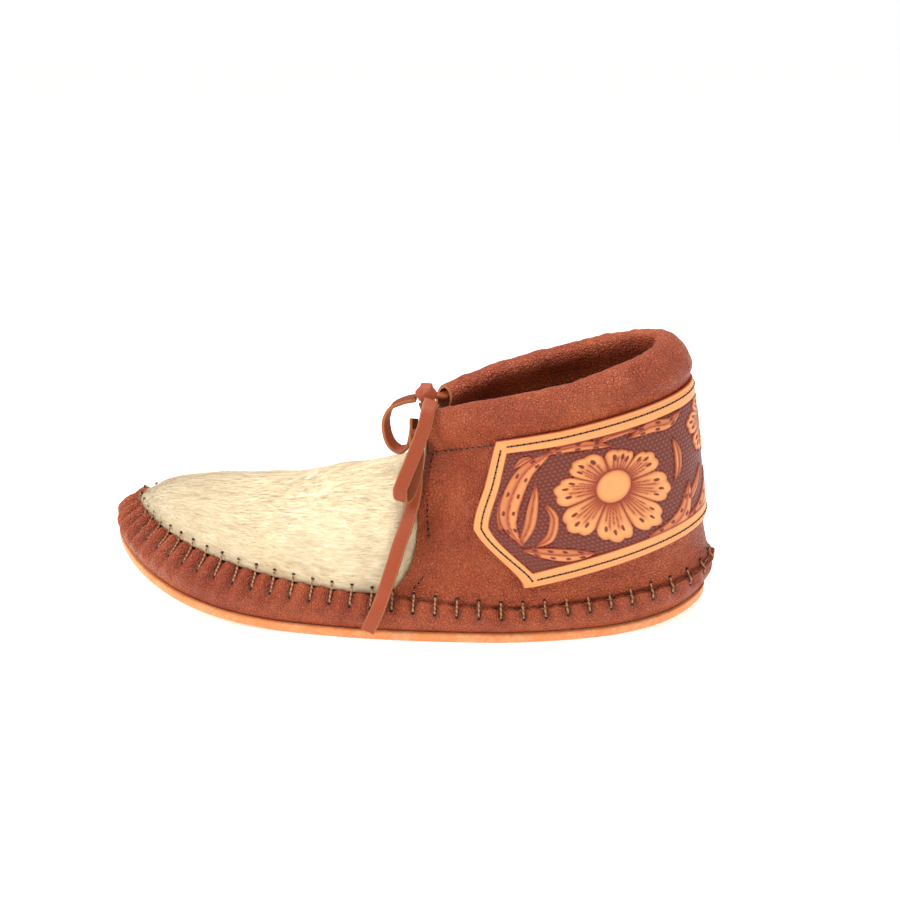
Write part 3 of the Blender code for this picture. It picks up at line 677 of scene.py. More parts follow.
@dataclass(frozen=True)
class HairOnHide:
    """Hide tanned with its short hair left on, which lies lengthwise like a nap."""

    name: str = "hair_on_hide"
    light: str = "#F8EACB"
    warm: str = "#E6CA96"
    grey: str = "#C4AC80"
    # Root colour of single darker hairs, and also the colour of the painted shade along the hide's edges.
    root: str = "#8A7350"
    hair_mm: float = 0.55
    length_mm: float = 7.0
    lock_mm: float = 2.6
    lock_length_mm: float = 16.0
    sway: tuple[float, float, float] = (0.0, 0.0065, 0.0065)

    def build(self) -> bpy.types.Material:
        """Material with fine streaks along the hair and a soft, dull surface."""
        recipe = Recipe(self.name, Roughness=0.78, IOR=1.4, Sheen_Weight=0.25, Sheen_Roughness=0.5)
        wave = recipe.noise(recipe.place, per_mm(22.0))
        moved = recipe.moved(wave.outputs["Color"], self.sway)
        lie = recipe.stretched(moved, self.length_mm, self.hair_mm)
        hair = recipe.noise(lie, 1.0, 3.0, 0.6).outputs["Fac"]
        tuft = recipe.stretched(moved, self.lock_length_mm, self.lock_mm)
        lock = recipe.noise(tuft, 1.0, 3.0).outputs["Fac"]
        cloud = recipe.noise(recipe.place, per_mm(34.0)).outputs["Fac"]
        lit = recipe.mix(recipe.span(hair, 0.42, 0.66, 0.0, 0.75), self.light, self.warm)
        locks = recipe.mix(recipe.span(lock, 0.5, 0.75, 0.0, 0.42), lit, self.grey)
        tone = recipe.mix(recipe.span(cloud, 0.45, 0.7, 0.0, 0.35), locks, self.warm)
        # The mesh's painted "shade" attribute blends in the root colour: painted shade along the plug's
        # edges, and a random darker tone on single hairs.
        rooted_and_shaded = recipe.mix(recipe.painted("shade"), tone, self.root)
        coarse = recipe.bump(lock, 0.35, 0.0007)
        return recipe.finish(Base_Color=rooted_and_shaded, Normal=recipe.bump(hair, 0.5, 0.00035, coarse))


@dataclass(frozen=True)
class ToolingLeather:
    """Vegetable-tanned cowhide, carved wet and rubbed with dark antique paste."""

    name: str = "vegetable_tanned_tooling"
    natural: str = "#E8954F"
    pale: str = "#F0A868"
    red: str = "#A33A12"
    dark: str = "#501A0C"
    cloud_mm: float = 9.0
    pore_mm: float = 0.5

    def build(self) -> bpy.types.Material:
        """Material that turns from natural through red-brown to dark where paste stays."""
        recipe = Recipe(self.name, Roughness=0.42, IOR=1.48)
        cloud = recipe.noise(recipe.place, per_mm(self.cloud_mm), 4.0, 0.6).outputs["Fac"]
        pore = recipe.noise(recipe.place, per_mm(self.pore_mm)).outputs["Fac"]
        dye = recipe.painted("dye")
        rubbed = recipe.mix(recipe.span(dye, 0.04, 0.52), recipe.mix(cloud, self.natural, self.pale),
                            self.red)
        stained = recipe.mix(recipe.span(dye, 0.5, 1.0), rubbed, self.dark)
        return recipe.finish(Base_Color=stained, Normal=recipe.bump(pore, 0.2, 0.0001))


@dataclass(frozen=True)
class CutLeather:
    """Raw or burnished cut of vegetable-tanned leather, smooth or fibrous."""

    name: str
    body: str
    # Lighter tone of the faint scuffs.
    wear_and_shade: str
    fibre_mm: float = 0.8
    cloud_mm: float = 14.0
    roughness: float = 0.6
    strength: float = 0.4
    sheen: float = 0.0
    # Colour of the painted shade.
    painted_shade: str = "#5A2412"

    def build(self) -> bpy.types.Material:
        """Material with short fibres, faint scuffs and painted shade where the mesh paints it."""
        recipe = Recipe(self.name, IOR=1.45, Sheen_Weight=self.sheen)
        fibre = recipe.noise(recipe.place, per_mm(self.fibre_mm), 4.0, 0.7).outputs["Fac"]
        cloud = recipe.noise(recipe.place, per_mm(self.cloud_mm), 5.0, 0.65).outputs["Fac"]
        blend = recipe.add("ShaderNodeMath", {0: fibre, 1: cloud}, operation="MULTIPLY").outputs[0]
        tone = recipe.mix(recipe.span(blend, 0.2, 0.36), self.body, self.wear_and_shade)
        gloss = recipe.span(cloud, 0.3, 0.7, self.roughness - 0.1, self.roughness + 0.12)
        # Painted shade: the mesh's painted "shade" attribute blends in the dark colour on cut and flesh
        # faces beside shaded outer faces.
        return recipe.finish(Base_Color=recipe.mix(recipe.painted("shade"), tone, self.painted_shade),
                             Roughness=gloss, Normal=recipe.bump(fibre, self.strength, 0.00025))


@dataclass(frozen=True)
class LaceLeather:
    """Lace cut from milled cowhide: dyed grain on one side and napped suede on the other."""

    name: str = "lace_leather"
    grain: str = "#9C421E"
    suede: str = "#7E3E1E"
    nap: str = "#7A3A1A"
    edge: str = "#A9643A"
    nap_mm: float = 0.9

    def build(self) -> bpy.types.Material:
        """Material that reads which face of the strip it lies on."""
        recipe = Recipe(self.name, IOR=1.45)
        nap = recipe.noise(recipe.place, per_mm(self.nap_mm), 4.0, 0.7).outputs["Fac"]
        side = recipe.painted("grain_side")
        face = recipe.mix(side, recipe.mix(nap, self.nap, self.suede), self.grain)
        return recipe.finish(Base_Color=recipe.mix(recipe.painted("cut_side"), face, self.edge),
                             Roughness=recipe.span(side, 0.0, 1.0, 0.92, 0.5),
                             Normal=recipe.bump(nap, 0.6, 0.0003))


@dataclass(frozen=True)
class WaxedThread:
    """Twisted linen or nylon thread, drawn through wax."""

    name: str
    light: str
    dark: str
    twist_mm: float = 0.7

    def build(self) -> bpy.types.Material:
        """Material with the twist of the strands as fine bands."""
        recipe = Recipe(self.name, Roughness=0.55, IOR=1.5)
        links = {"Vector": recipe.place, "Scale": per_mm(self.twist_mm) / TAU, "Distortion": 2.0}
        twist = recipe.add("ShaderNodeTexWave", links, bands_direction="DIAGONAL").outputs["Fac"]
        return recipe.finish(Base_Color=recipe.mix(twist, self.dark, self.light),
                             Normal=recipe.bump(twist, 0.4, 0.0001))


@dataclass(frozen=True)
class PlainFinish:
    """One dull colour with a faint grain, for the floor and for the painted shade in the mouths of needle
    holes.
    """

    name: str
    body: str
    roughness: float = 0.9
    glow: float = 0.0
    grain_mm: float = 1.5

    def build(self) -> bpy.types.Material:
        """Material with almost no pattern."""
        recipe = Recipe(self.name, Roughness=self.roughness, Emission_Color=linear("#FFFFFF"),
                        Emission_Strength=self.glow)
        grain = recipe.noise(recipe.place, per_mm(self.grain_mm)).outputs["Fac"]
        tone = recipe.add("ShaderNodeHueSaturation", {"Color": linear(self.body), "Fac": grain})
        return recipe.finish(Base_Color=tone.outputs[0])


class Finishes:
    """Every finish of the boot, built once."""

    def __init__(self) -> None:
        """Build the materials."""
        self.cowhide = PebbledCowhide().build()
        self.hide = HairOnHide().build()
        self.tooling = ToolingLeather().build()
        self.cut_edge = CutLeather("raw_cut_edge", "#A9653A", "#C98C5C", strength=0.8,
                                   roughness=0.8).build()
        self.flesh_side = CutLeather("flesh_side_suede", "#8C4A2A", "#A8603A", fibre_mm=1.2,
                                     roughness=0.92, strength=0.7, sheen=0.2).build()
        self.sole = CutLeather("burnished_sole_leather", "#EC8A4C", "#F2A672", fibre_mm=1.6,
                               roughness=0.48, strength=0.18).build()
        self.insole = CutLeather("insole_leather", "#B98255", "#CFA077", roughness=0.85).build()
        self.lace = LaceLeather().build()
        self.tan_thread = WaxedThread("waxed_linen_thread", "#B88253", "#70452A").build()
        self.brown_thread = WaxedThread("brown_nylon_thread", "#8A4A2C", "#3A1A10").build()
        self.dark_thread = WaxedThread("dark_nylon_thread", "#4A2A20", "#1C100C").build()
        # Near-black domes at the stitch holes are painted shade in the holes.
        self.hole = PlainFinish("needle_hole_shade", "#170A06").build()
        self.floor = PlainFinish("painted_floor", "#F4F3F1", 0.7, 0.55).build()


def lengths_along(points: Array) -> Array:
    """Distance of each point of a line from its start."""
    return np.concatenate([[0.0], np.cumsum(np.linalg.norm(np.diff(points, axis=0), axis=1))])


def refine(points: Array, count: int) -> Array:
    """Smooth line through points, read at an even count of places."""
    knots = lengths_along(points)
    return hermite(points, knots, np.linspace(0.0, knots[-1], count))


@dataclass(frozen=True)
class WhipSeam:
    """Spacing and folds of the whip-stitched seam round the top of the wall."""

    last: Last
    STEPS = 2880
    TURNED = (0.0, 22.0, 60.0, 100.0, 180.0)
    PITCH = (7.0, 7.0, 8.4, 9.3, 9.5)
    FOLD = (2.7, 2.5, 2.0, 1.0, 1.6)
    LEAN = (0.0, 0.45, 0.55, -0.15, -0.5)

    def turned(self, angle: Array) -> Array:
        """Degrees away from the toe."""
        return np.degrees(np.abs(np.mod(angle, TAU) - math.pi))

    def table(self) -> tuple[Array, Array]:
        """Angles round the wall and the count of stitches up to each."""
        angles = np.linspace(0.0, TAU, self.STEPS + 1)
        reach = lengths_along(self.last.seam_point(angles, 0.0, 0.0))
        pitch = np.interp(self.turned(angles), self.TURNED, self.PITCH) * MM
        count = np.concatenate([[0.0], np.cumsum(np.diff(reach) / pitch[1:])])
        return angles, count * round(count[-1]) / count[-1]

    def stitches(self) -> Array:
        """Angles of the stitches."""
        angles, count = self.table()
        return np.interp(np.arange(round(count[-1])) + 0.5, count, angles)

    def bulge(self, angle: Array, rise: Array) -> Array:
        """Fold's height as a share, 0 in line with a stitch and 1 half way between two."""
        angles, count = self.table()
        side = np.where(np.sin(angle) >= 0.0, 1.0, -1.0)
        lean = side * np.interp(self.turned(angle), self.TURNED, self.LEAN)
        phase = np.interp(np.mod(angle, TAU), angles, count) - 0.5 - lean * (1.0 - rise)
        return np.sin(math.pi * phase) ** 2


class Sole:
    """Outsole and insole."""

    ROUND = 0.0009

    def __init__(self, last: Last, finishes: Finishes) -> None:
        """Build both soles."""
        self.last = last
        outer = [(0.0, 0.5), (0.0, 0.78), (0.35, 0.94), (1.0, 1.0)]
        self.slab("outsole_leather", outer, 0.0, 0.0, last.sole_thickness, finishes.sole, "outsole")
        inset = last.feather_inset + last.leather + 0.001
        start = last.sole_thickness + last.gap
        self.slab("insole_leather", [(0.0, 0.5), (0.0, 1.0)], inset, start, 0.0025,
                  finishes.insole, "insole")

    def slab(self, name: str, edge: list[tuple[float, float]], inset: float, start: float,
             thickness: float, finish: bpy.types.Material, node: str) -> None:
        """Make a slab that follows the sole's outline and spring.

        Args:
            name: The piece's name.
            edge: Rounding from the edge's middle to its top, as shares of round and thickness.
            inset: Distance inside the sole's outline.
            start: Height of its underside above the sole's underside.
            thickness: The slab's thickness.
            finish: Its material.
            node: The node it stands for.
        """
        turns = np.linspace(0.045, math.pi - 0.045, 240)
        parts = [(0.0, back, high) for back, high in edge]
        parts += [(step / 14.0, 1.0, 1.0) for step in range(1, 14)]
        parts += [(1.0, back, high) for back, high in edge[::-1]]
        profile = parts + [(part, back, 1.0 - high) for part, back, high in parts[::-1]]
        loops = []
        for part, back, high in profile:
            outer = self.last.ring(turns, np.full_like(turns, inset + back * self.ROUND))
            inner = self.last.ring(-turns, np.full_like(turns, inset + back * self.ROUND))
            points = between(outer, inner, part)
            points[:, 0] = self.last.sole_edge(turns)[:, 0] if inset == 0.0 else points[:, 0]
            points[:, 2] = self.last.floor_rise(points[:, 0]) + start + high * thickness
            loops.append(points)
        piece = Piece(name)
        index = piece.add(np.stack(loops, axis=1))
        piece.grid(index, round_second=True)
        piece.polygon(index[0])
        piece.polygon(index[-1][::-1])
        piece.build([finish], node, (node,), sharp=60.0)


class Wall:
    """Side wall, gathered into folds between the whip stitches."""

    COLUMNS = 1100
    ROWS = 30
    STITCH_RISES = np.array([0.72, 0.82, 0.92, 0.985])

    def __init__(self, last: Last, seam: WhipSeam, finishes: Finishes) -> None:
        """Build the wall, its stitches and its needle holes."""
        self.last = last
        self.seam = seam
        angles = np.linspace(0.0, TAU, self.COLUMNS, endpoint=False)
        outer = self.skin(angles, np.linspace(0.0, 1.0, self.ROWS))
        rises = np.linspace(0.93, 0.0, 7)
        inner = self.skin(angles, rises)
        normals = grid_normals(self.last.wall_grid(angles, rises))
        inner = inner + normals * last.leather
        inner[:, -1] = last.ring(angles, np.full_like(angles, last.feather_inset + last.leather))
        inner[:, -1, 2] = outer[:, 0, 2]
        ragged = Noise(5).layered(angles * 60.0, 0.0, 3) * 0.25 * MM
        lip = last.seam_point(angles, -0.2 * MM, 0.0)
        lip[:, 2] = outer[:, -1, 2] - 0.35 * MM + ragged
        piece = Piece("upper_wall")
        front = piece.add(outer, shade=self.shade(angles))
        turn = between(outer[:, -1], lip, 0.7) + [0.0, 0.0, 0.3 * MM]
        over = piece.add(np.stack([outer[:, -1], turn], axis=1), shade=0.25)
        top = piece.add(np.stack([turn, lip, inner[:, 0]], axis=1))
        back = piece.add(inner)
        piece.grid(front, 0, round_first=True)
        piece.grid(over, 0, round_first=True)
        piece.grid(top, 1, round_first=True)
        piece.grid(back, 2, round_first=True)
        piece.strip(np.append(back[:, -1], back[0, -1]), np.append(front[:, 0], front[0, 0]), 2)
        piece.build([finishes.cowhide, finishes.cut_edge, finishes.flesh_side], "upper", ("upper",))
        self.sew(finishes)

    def skin(self, angles: Array, rises: Array) -> Array:
        """Outer face with its folds, dents and scalloped top edge."""
        points = self.last.wall_grid(angles, rises)
        normals = grid_normals(points) * np.sign(rises[-1] - rises[0])
        angle, rise = np.meshgrid(angles, rises, indexing="ij")
        height = np.interp(self.seam.turned(angle), self.seam.TURNED, self.seam.FOLD) * MM
        bulge = self.seam.bulge(angle, rise)
        reach = smoothstep((rise - 0.15) / 0.45) * (1.0 - 0.35 * smoothstep((rise - 0.85) / 0.15))
        dents = Noise(3).layered(angle * 9.0, rise * 2.0, 3) * 0.55 * MM * np.sin(math.pi * rise)
        creases = Noise(8).layered(angle * 40.0 + rise * 4.0, rise * 5.0, 2) * 0.18 * MM * reach
        points += normals * (height * (bulge - 0.5) * reach + dents + creases)[..., None]
        points[..., 2] -= height * 0.75 * (1.0 - bulge) * smoothstep((rise - 0.7) / 0.3)
        return points

    def shade(self, angles: Array) -> Array:
        """Painted shade in the gathered valleys beside the stitches, and a painted shadow along the wall's
        foot by the sole.
        """
        angle, rise = np.meshgrid(angles, np.linspace(0.0, 1.0, self.ROWS), indexing="ij")
        valley = (1.0 - self.seam.bulge(angle, rise)) ** 3 * smoothstep((rise - 0.45) / 0.4)
        # Painted shadow along the foot of the wall, where it meets the sole.
        foot = smoothstep((0.09 - rise) / 0.09)
        return np.clip(valley * 0.75 + foot * 0.8, 0.0, 1.0)

    def sew(self, finishes: Finishes) -> None:
        """Lay one whip stitch over the edge at each place, with a hole at both ends."""
        angles = self.seam.stitches()
        low = self.skin(angles, self.STITCH_RISES)
        normals = grid_normals(self.last.wall_grid(angles, self.STITCH_RISES))
        low = low + normals * (np.array([-0.5, 0.5, 0.65, 0.7]) * MM)[:, None]
        over = self.last.seam_point(angles, -0.5 * MM, -0.7 * MM)
        above = self.last.seam_point(angles, 0.1 * MM, -1.9 * MM)
        sunk = self.last.seam_point(angles, 1.3 * MM, -2.9 * MM)
        paths = np.concatenate([low, over[:, None], above[:, None], sunk[:, None]], axis=1)
        paths = np.stack([refine(path, 12) for path in paths])
        outward = -self.last.inward(angles)
        piece = Piece("whip_stitches")
        piece.tubes(paths, outward[:, None], np.full(12, 0.44 * MM), np.full(12, 0.34 * MM))
        piece.build([finishes.tan_thread], "upper")
        # Dark domes at both ends of each stitch: painted shade in the needle holes.
        holes = Piece("whip_stitch_holes")
        holes.dots(low[:, 0] + normals[:, 0] * 0.55 * MM, normals[:, 0], 0.75 * MM, 0.12 * MM)
        holes.dots(above - outward * 0.25 * MM + [0.0, 0.0, 0.5 * MM], outward, 0.8 * MM, 0.3 * MM)
        holes.build([finishes.hole], "upper")


class Quarters:
    """Quarters and rolled collar, one folded sheet of leather."""

    COLUMNS = 640
    ROWS = 46
    ROLL = ((1.15, 21.0), (0.75, 19.5), (1.7, 17.6), (3.3, 14.5), (5.1, 11.5), (6.2, 8.0),
            (6.1, 5.0), (4.9, 2.4), (2.7, 0.6), (0.2, 0.0), (-2.2, 0.5), (-4.5, 2.2), (-5.9, 5.0),
            (-6.1, 8.0), (-5.2, 11.5), (-4.0, 14.5), (-3.2, 17.0), (-2.9, 19.5), (-3.1, 21.5))
    ROLL_STEPS = 62
    ROLL_START = 0.0215
    ROLL_LEATHER = 1.6
    STITCH_DEPTH = 19.6
    STITCH_PITCH = 2.7
    EDGE_STITCH_SWEEP = 0.972

    def __init__(self, last: Last, seam: WhipSeam, finishes: Finishes) -> None:
        """Build the sheet and its running stitches."""
        self.last = last
        self.seam = seam
        sweeps = np.linspace(-1.0, 1.0, self.COLUMNS)
        outer, inner = self.sheet(sweeps)
        piece = Piece("quarters_and_collar")
        shade = np.zeros(outer.shape[:2])
        # Painted shade on the lowest rows, where the quarters meet the wall's top.
        shade[:, :3] = 0.5
        front = piece.add(outer, shade=shade)
        back = piece.add(inner)
        piece.grid(front, 0)
        piece.grid(back[::-1], 2)
        for place, turn in ((0, 1), (-1, -1)):
            cut = piece.add(np.stack([outer[place], inner[place]])[::turn])
            piece.grid(cut, 1)
        piece.strip(back[:, -1], front[:, -1], 1)
        piece.strip(front[:, 0], back[:, 0], 2)
        piece.build([finishes.cowhide, finishes.cut_edge, finishes.flesh_side], "upper",
                    ("upper", "collar_roll"))
        self.sew(finishes)

    def sheet(self, sweeps: Array) -> tuple[Array, Array]:
        """Outer face from the seam over the roll to the inner edge, and the face behind it."""
        path = refine(np.array(self.ROLL) * MM, self.ROLL_STEPS)
        run = unit(np.gradient(path, axis=0))
        behind = path + np.stack([run[:, 1], -run[:, 0]], axis=-1) * self.ROLL_LEATHER * MM
        top = self.last.levels_at(sweeps, (self.last.crest_height(sweeps) - self.ROLL_START)[:, None])
        levels = -0.12 + (top + 0.12) * np.linspace(0.0, 1.0, self.ROWS)
        skin = self.last.quarter_grid(sweeps, levels)
        normals = self.last.quarter_normals(sweeps, levels)
        roll = self.last.collar_grid(sweeps, path[:, 0], path[:, 1])
        tube = self.last.collar_grid(sweeps, behind[:, 0], behind[:, 1])
        outer = np.concatenate([skin, roll], axis=1)
        inner = np.concatenate([skin - normals * self.last.leather, tube], axis=1)
        push = self.waves(sweeps, outer)[..., None] * grid_normals(outer)
        return outer + push, inner + push

    def waves(self, sweeps: Array, outer: Array) -> Array:
        """Soft troughs and ridges: creases at the throat, pillows at the seam, a puckered roll."""
        across = (sweeps * 190.0)[:, None]
        rows = np.arange(outer.shape[1])[None, :]
        up = (outer[..., 2] * 1000.0)
        broad = Noise(21).layered(across / 19.0, up / 15.0, 3) * 0.85
        throat = smoothstep((np.abs(sweeps) - 0.72) / 0.2)[:, None]
        crease = np.sin(across * 0.33 + up * 0.16 + 2.5 * Noise(4).at(across / 30.0, up / 30.0))
        broad = broad + crease * 0.5 * throat
        angles = math.radians(self.last.seam_sweep) * sweeps[:, None]
        bulge = self.seam.bulge(angles, np.ones_like(angles)) - 0.5
        low = np.clip(1.0 - rows / 9.0, 0.0, 1.0)
        part = np.clip((rows - self.ROWS) / self.ROLL_STEPS, 0.0, 1.0)
        on_roll = np.sin(math.pi * part) ** 0.6 * (rows > self.ROWS)
        pucker = Noise(31).layered(across / 6.5, part * 4.0, 2) * 0.5
        flat = np.where(rows > self.ROWS, 0.25, np.clip((self.ROWS - rows) / 9.0, 0.2, 1.0))
        wave = broad * flat + bulge * 0.8 * low + pucker * on_roll
        cover = (np.abs(sweeps) < 0.82)[:, None] * (rows < self.ROWS)
        return np.where(cover, np.minimum(wave, 0.0), wave) * MM

    def sew(self, finishes: Finishes) -> None:
        """Sew round both sides of the collar and down the quarters' front edges."""
        sweeps = np.linspace(-0.99, 0.99, 900)
        lines = []
        for out in (0.75, -2.9):
            place = np.array([out * MM]), np.array([self.STITCH_DEPTH * MM])
            line = self.last.collar_grid(sweeps, *place)[:, 0]
            away = self.last.collar_outward(sweeps) * (1.0 if out > 0.0 else -1.0)
            lines.append((line, away))
        for side in (-1.0, 1.0):
            levels = np.linspace(0.35, 3.95, 300)
            sweep = np.full(300, side * self.EDGE_STITCH_SWEEP)
            line = self.last.quarter_grid(sweep, levels[:, None])[:, 0]
            lines.append((line, self.last.quarter_normals(sweep, levels[:, None])[:, 0]))
        running_stitches("collar_stitches", lines, self.STITCH_PITCH * MM, finishes.brown_thread,
                         finishes.hole, "upper")


def running_stitches(name: str, lines: list[tuple[Array, Array]], pitch: float,
                     thread: bpy.types.Material, hole: bpy.types.Material, slot: str) -> None:
    """Sew running stitches along lines.

    Args:
        name: The pieces' name.
        lines: Points of each line with the surface's normals.
        pitch: Length of one stitch.
        thread: The thread's material.
        hole: The needle holes' material.
        slot: Name handed on to the pieces' build.
    """
    sewn = Piece(name)
    holes = Piece(name + "_holes")
    for line, normals in lines:
        knots = lengths_along(line)
        starts = np.arange(0.0, knots[-1] - pitch, pitch)
        steps = np.linspace(0.10, 0.90, 6)
        sink = np.array([-0.35, 0.12, 0.3, 0.3, 0.12, -0.35]) * MM
        at = starts[:, None] + steps * pitch
        paths = np.stack([np.interp(at, knots, line[:, axis]) for axis in range(3)], axis=-1)
        ups = np.stack([np.interp(at, knots, normals[:, axis]) for axis in range(3)], axis=-1)
        sewn.tubes(paths + ups * sink[:, None], ups, np.full(6, 0.30 * MM), np.full(6, 0.24 * MM), 6)
        mouth = np.stack([np.interp(starts, knots, line[:, axis]) for axis in range(3)], axis=-1)
        out = np.stack([np.interp(starts, knots, normals[:, axis]) for axis in range(3)], axis=-1)
        # Dark domes at each stitch's start: painted shade in the needle holes.
        holes.dots(mouth + out * 0.05 * MM, out, 0.48 * MM, 0.14 * MM)
    sewn.build([thread], slot)
    holes.build([hole], slot)


@dataclass(frozen=True)
class Plug:
    """Hair-on hide over the toes, which runs on under the quarters as the tongue."""

    last: Last
    RIDGE = ((0.500, 1.020), (0.550, 0.950), (0.604, 0.897), (0.675, 0.800), (0.746, 0.758),
             (0.814, 0.741), (0.875, 0.713), (0.907, 0.684), (0.925, 0.643), (0.943, 0.594),
             (0.957, 0.558))
    TONGUE = ((1, 0.0115, 0.706), (2, 0.0170, 0.721), (3, 0.0225, 0.740), (4, 0.0282, 0.762),
              (5, 0.0335, 0.787), (6, 0.0385, 0.815), (7, 0.0427, 0.844))
    TIP = ((0.0470, 0.122, 0.800, 0.875), (0.0510, 0.104, 0.870, 0.920), (0.0540, 0.090, 0.925, 0.952))
    HIDE = 0.0024
    HAIRS = 30000

    def arch(self, edge: Array, crown: Array) -> Array:
        """Points at even distances on an elliptic arch from an edge up to the crown."""
        turn = np.linspace(0.0, math.pi / 2.0, 40)[:, None]
        line = crown + (edge - crown) * np.concatenate(
            [1.0 - np.sin(turn), np.cos(turn), 1.0 - np.sin(turn)], axis=1)
        return refine(line, 10)

    def row(self, edges: list[Array], crown: Array) -> Array:
        """One row from the outer side's edge over the crown to the inner side's."""
        first, second = (self.arch(edge, crown) for edge in edges)
        return np.concatenate([first, second[:-1][::-1]])

    def rows(self) -> Array:
        """Rows from the toe to the tongue's top."""
        last = self.last
        rows = []
        for step in range(21):
            angle = between(math.radians(177.0), math.radians(89.6), (step / 20.0) ** 0.92)
            under = np.clip(1.0 - (math.degrees(angle) - 89.2) / 8.24, 0.0, 1.0)
            inset = between(last.gap, last.leather + 0.9 * MM, under)
            edges = [last.seam_point(np.array([side * angle]), inset, MM)[0] for side in (1, -1)]
            middle = (edges[0] + edges[1]) / 2.0
            knots, rises = zip(*self.RIDGE)
            height = hermite(rises, knots, last.along(middle[0])) * last.instep_height
            rows.append(self.row(edges, np.array([middle[0], middle[1], max(height, middle[2])])))
        for place, reach, rise in self.TONGUE:
            level = np.array([5.0 * place / 12.0])
            edges = []
            for side in (1.0, -1.0):
                sweep = np.array([side])
                skin = last.quarter_grid(sweep, level) - last.quarter_normals(sweep, level) * 3.1 * MM
                edges.append(skin[0, 0])
            middle = (edges[0] + edges[1]) / 2.0
            crown = np.array([reach * last.sole_length, middle[1], rise * last.collar_front])
            rows.append(self.row(edges, crown))
        axis = last.RINGS[-1].axis * last.heel_width
        for reach, half, rise, crown in self.TIP:
            spot = reach * last.sole_length
            edges = [np.array([spot, axis + side * half * last.collar_front, rise * last.collar_front])
                     for side in (-1.0, 1.0)]
            rows.append(self.row(edges, np.array([spot, axis, crown * last.collar_front])))
        return np.stack(rows)

    def build(self, finishes: Finishes) -> None:
        """Build the hide with its soft dents, its cut edge and its hair."""
        rows = self.rows()
        rows = hermite(rows, np.arange(len(rows)), np.linspace(0.0, len(rows) - 1.0, 150))
        skin = hermite(rows.transpose(1, 0, 2), np.arange(rows.shape[1]),
                       np.linspace(0.0, rows.shape[1] - 1.0, 180)).transpose(1, 0, 2)
        normals = -grid_normals(skin)
        away = np.minimum(np.arange(180), np.arange(180)[::-1])[None, :]
        inside = smoothstep(away / 14.0) * smoothstep(np.arange(150) / 6.0)[:, None]
        dents = Noise(12).layered(skin[..., 0] / 0.021, skin[..., 1] / 0.017, 3) * 0.9 * MM
        skin = skin + normals * (dents * inside)[..., None]
        # Painted shade along the hide's edges, where it meets the wall's top and slips under the quarters.
        shade = np.clip(1.0 - away / 5.0, 0.0, 1.0) ** 2 * 0.5 + np.zeros((150, 1))
        piece = Piece("hide_plug_and_tongue")
        front = piece.add(skin, shade=shade)
        back = piece.add((skin - normals * self.HIDE)[::3, ::3])
        piece.grid(front[:, ::-1], 0)
        piece.grid(back, 1)
        rim = [skin[:, 0], skin[-1], skin[::-1, -1], skin[0, ::-1]]
        under = [line - away_from * self.HIDE for line, away_from in
                 zip(rim, (normals[:, 0], normals[-1], normals[::-1, -1], normals[0, ::-1]))]
        for line, below in zip(rim, under):
            cut = piece.add(np.stack([line, below]))
            piece.grid(cut, 1)
        piece.build([finishes.hide, finishes.flesh_side], "plug_tongue", ("plug_tongue",))
        self.grow_hair(skin, normals, finishes)

    def grow_hair(self, skin: Array, normals: Array, finishes: Finishes) -> None:
        """Lay short hairs lengthwise over the hide, as narrow tapered blades."""
        random = np.random.default_rng(9)
        count = self.HAIRS
        row = random.uniform(2.0, 118.0, count)
        place = random.uniform(4.0, 175.0, count)
        i = row.astype(int)
        j = place.astype(int)
        base = between(skin[i, j], skin[i + 1, j + 1], (row - i)[:, None])
        up = normals[i, j]
        lie = unit(skin[i + 1, j] - skin[i, j])
        lie = unit(lie + random.normal(0.0, 0.16, (count, 3)) * [0.3, 1.0, 0.4])
        across = unit(np.cross(up, lie)) * (random.uniform(0.07, 0.13, count) * MM)[:, None]
        length = (random.uniform(3.0, 6.5, count) * MM)[:, None]
        rise = (random.uniform(0.12, 0.5, count) * MM)[:, None]
        middle = base + lie * length * 0.5 + up * rise
        tip = base + lie * length + up * rise * 0.6
        blades = np.stack([base - across, base + across, middle + across, middle - across, tip], axis=1)
        piece = Piece("hide_hair")
        index = piece.add(blades, shade=random.uniform(0.0, 0.22, count)[:, None])
        piece.quads(index[:, 0], index[:, 1], index[:, 2], index[:, 3])
        for blade in index:
            piece.polygon(blade[[3, 2, 4]])
        piece.build([finishes.hide], "plug_tongue")


class Leaf(NamedTuple):
    """Carved leaf of the tooling: middle line in mm on the panel, widest half width, ovals."""

    line: tuple[tuple[float, float], ...]
    half_width: float
    ovals: int


class Bloom(NamedTuple):
    """Carved flower: centre, plain disk's radius and the petals' tips, in mm on the panel."""

    centre: tuple[float, float]
    disk: float
    tips: tuple[tuple[float, float], ...]


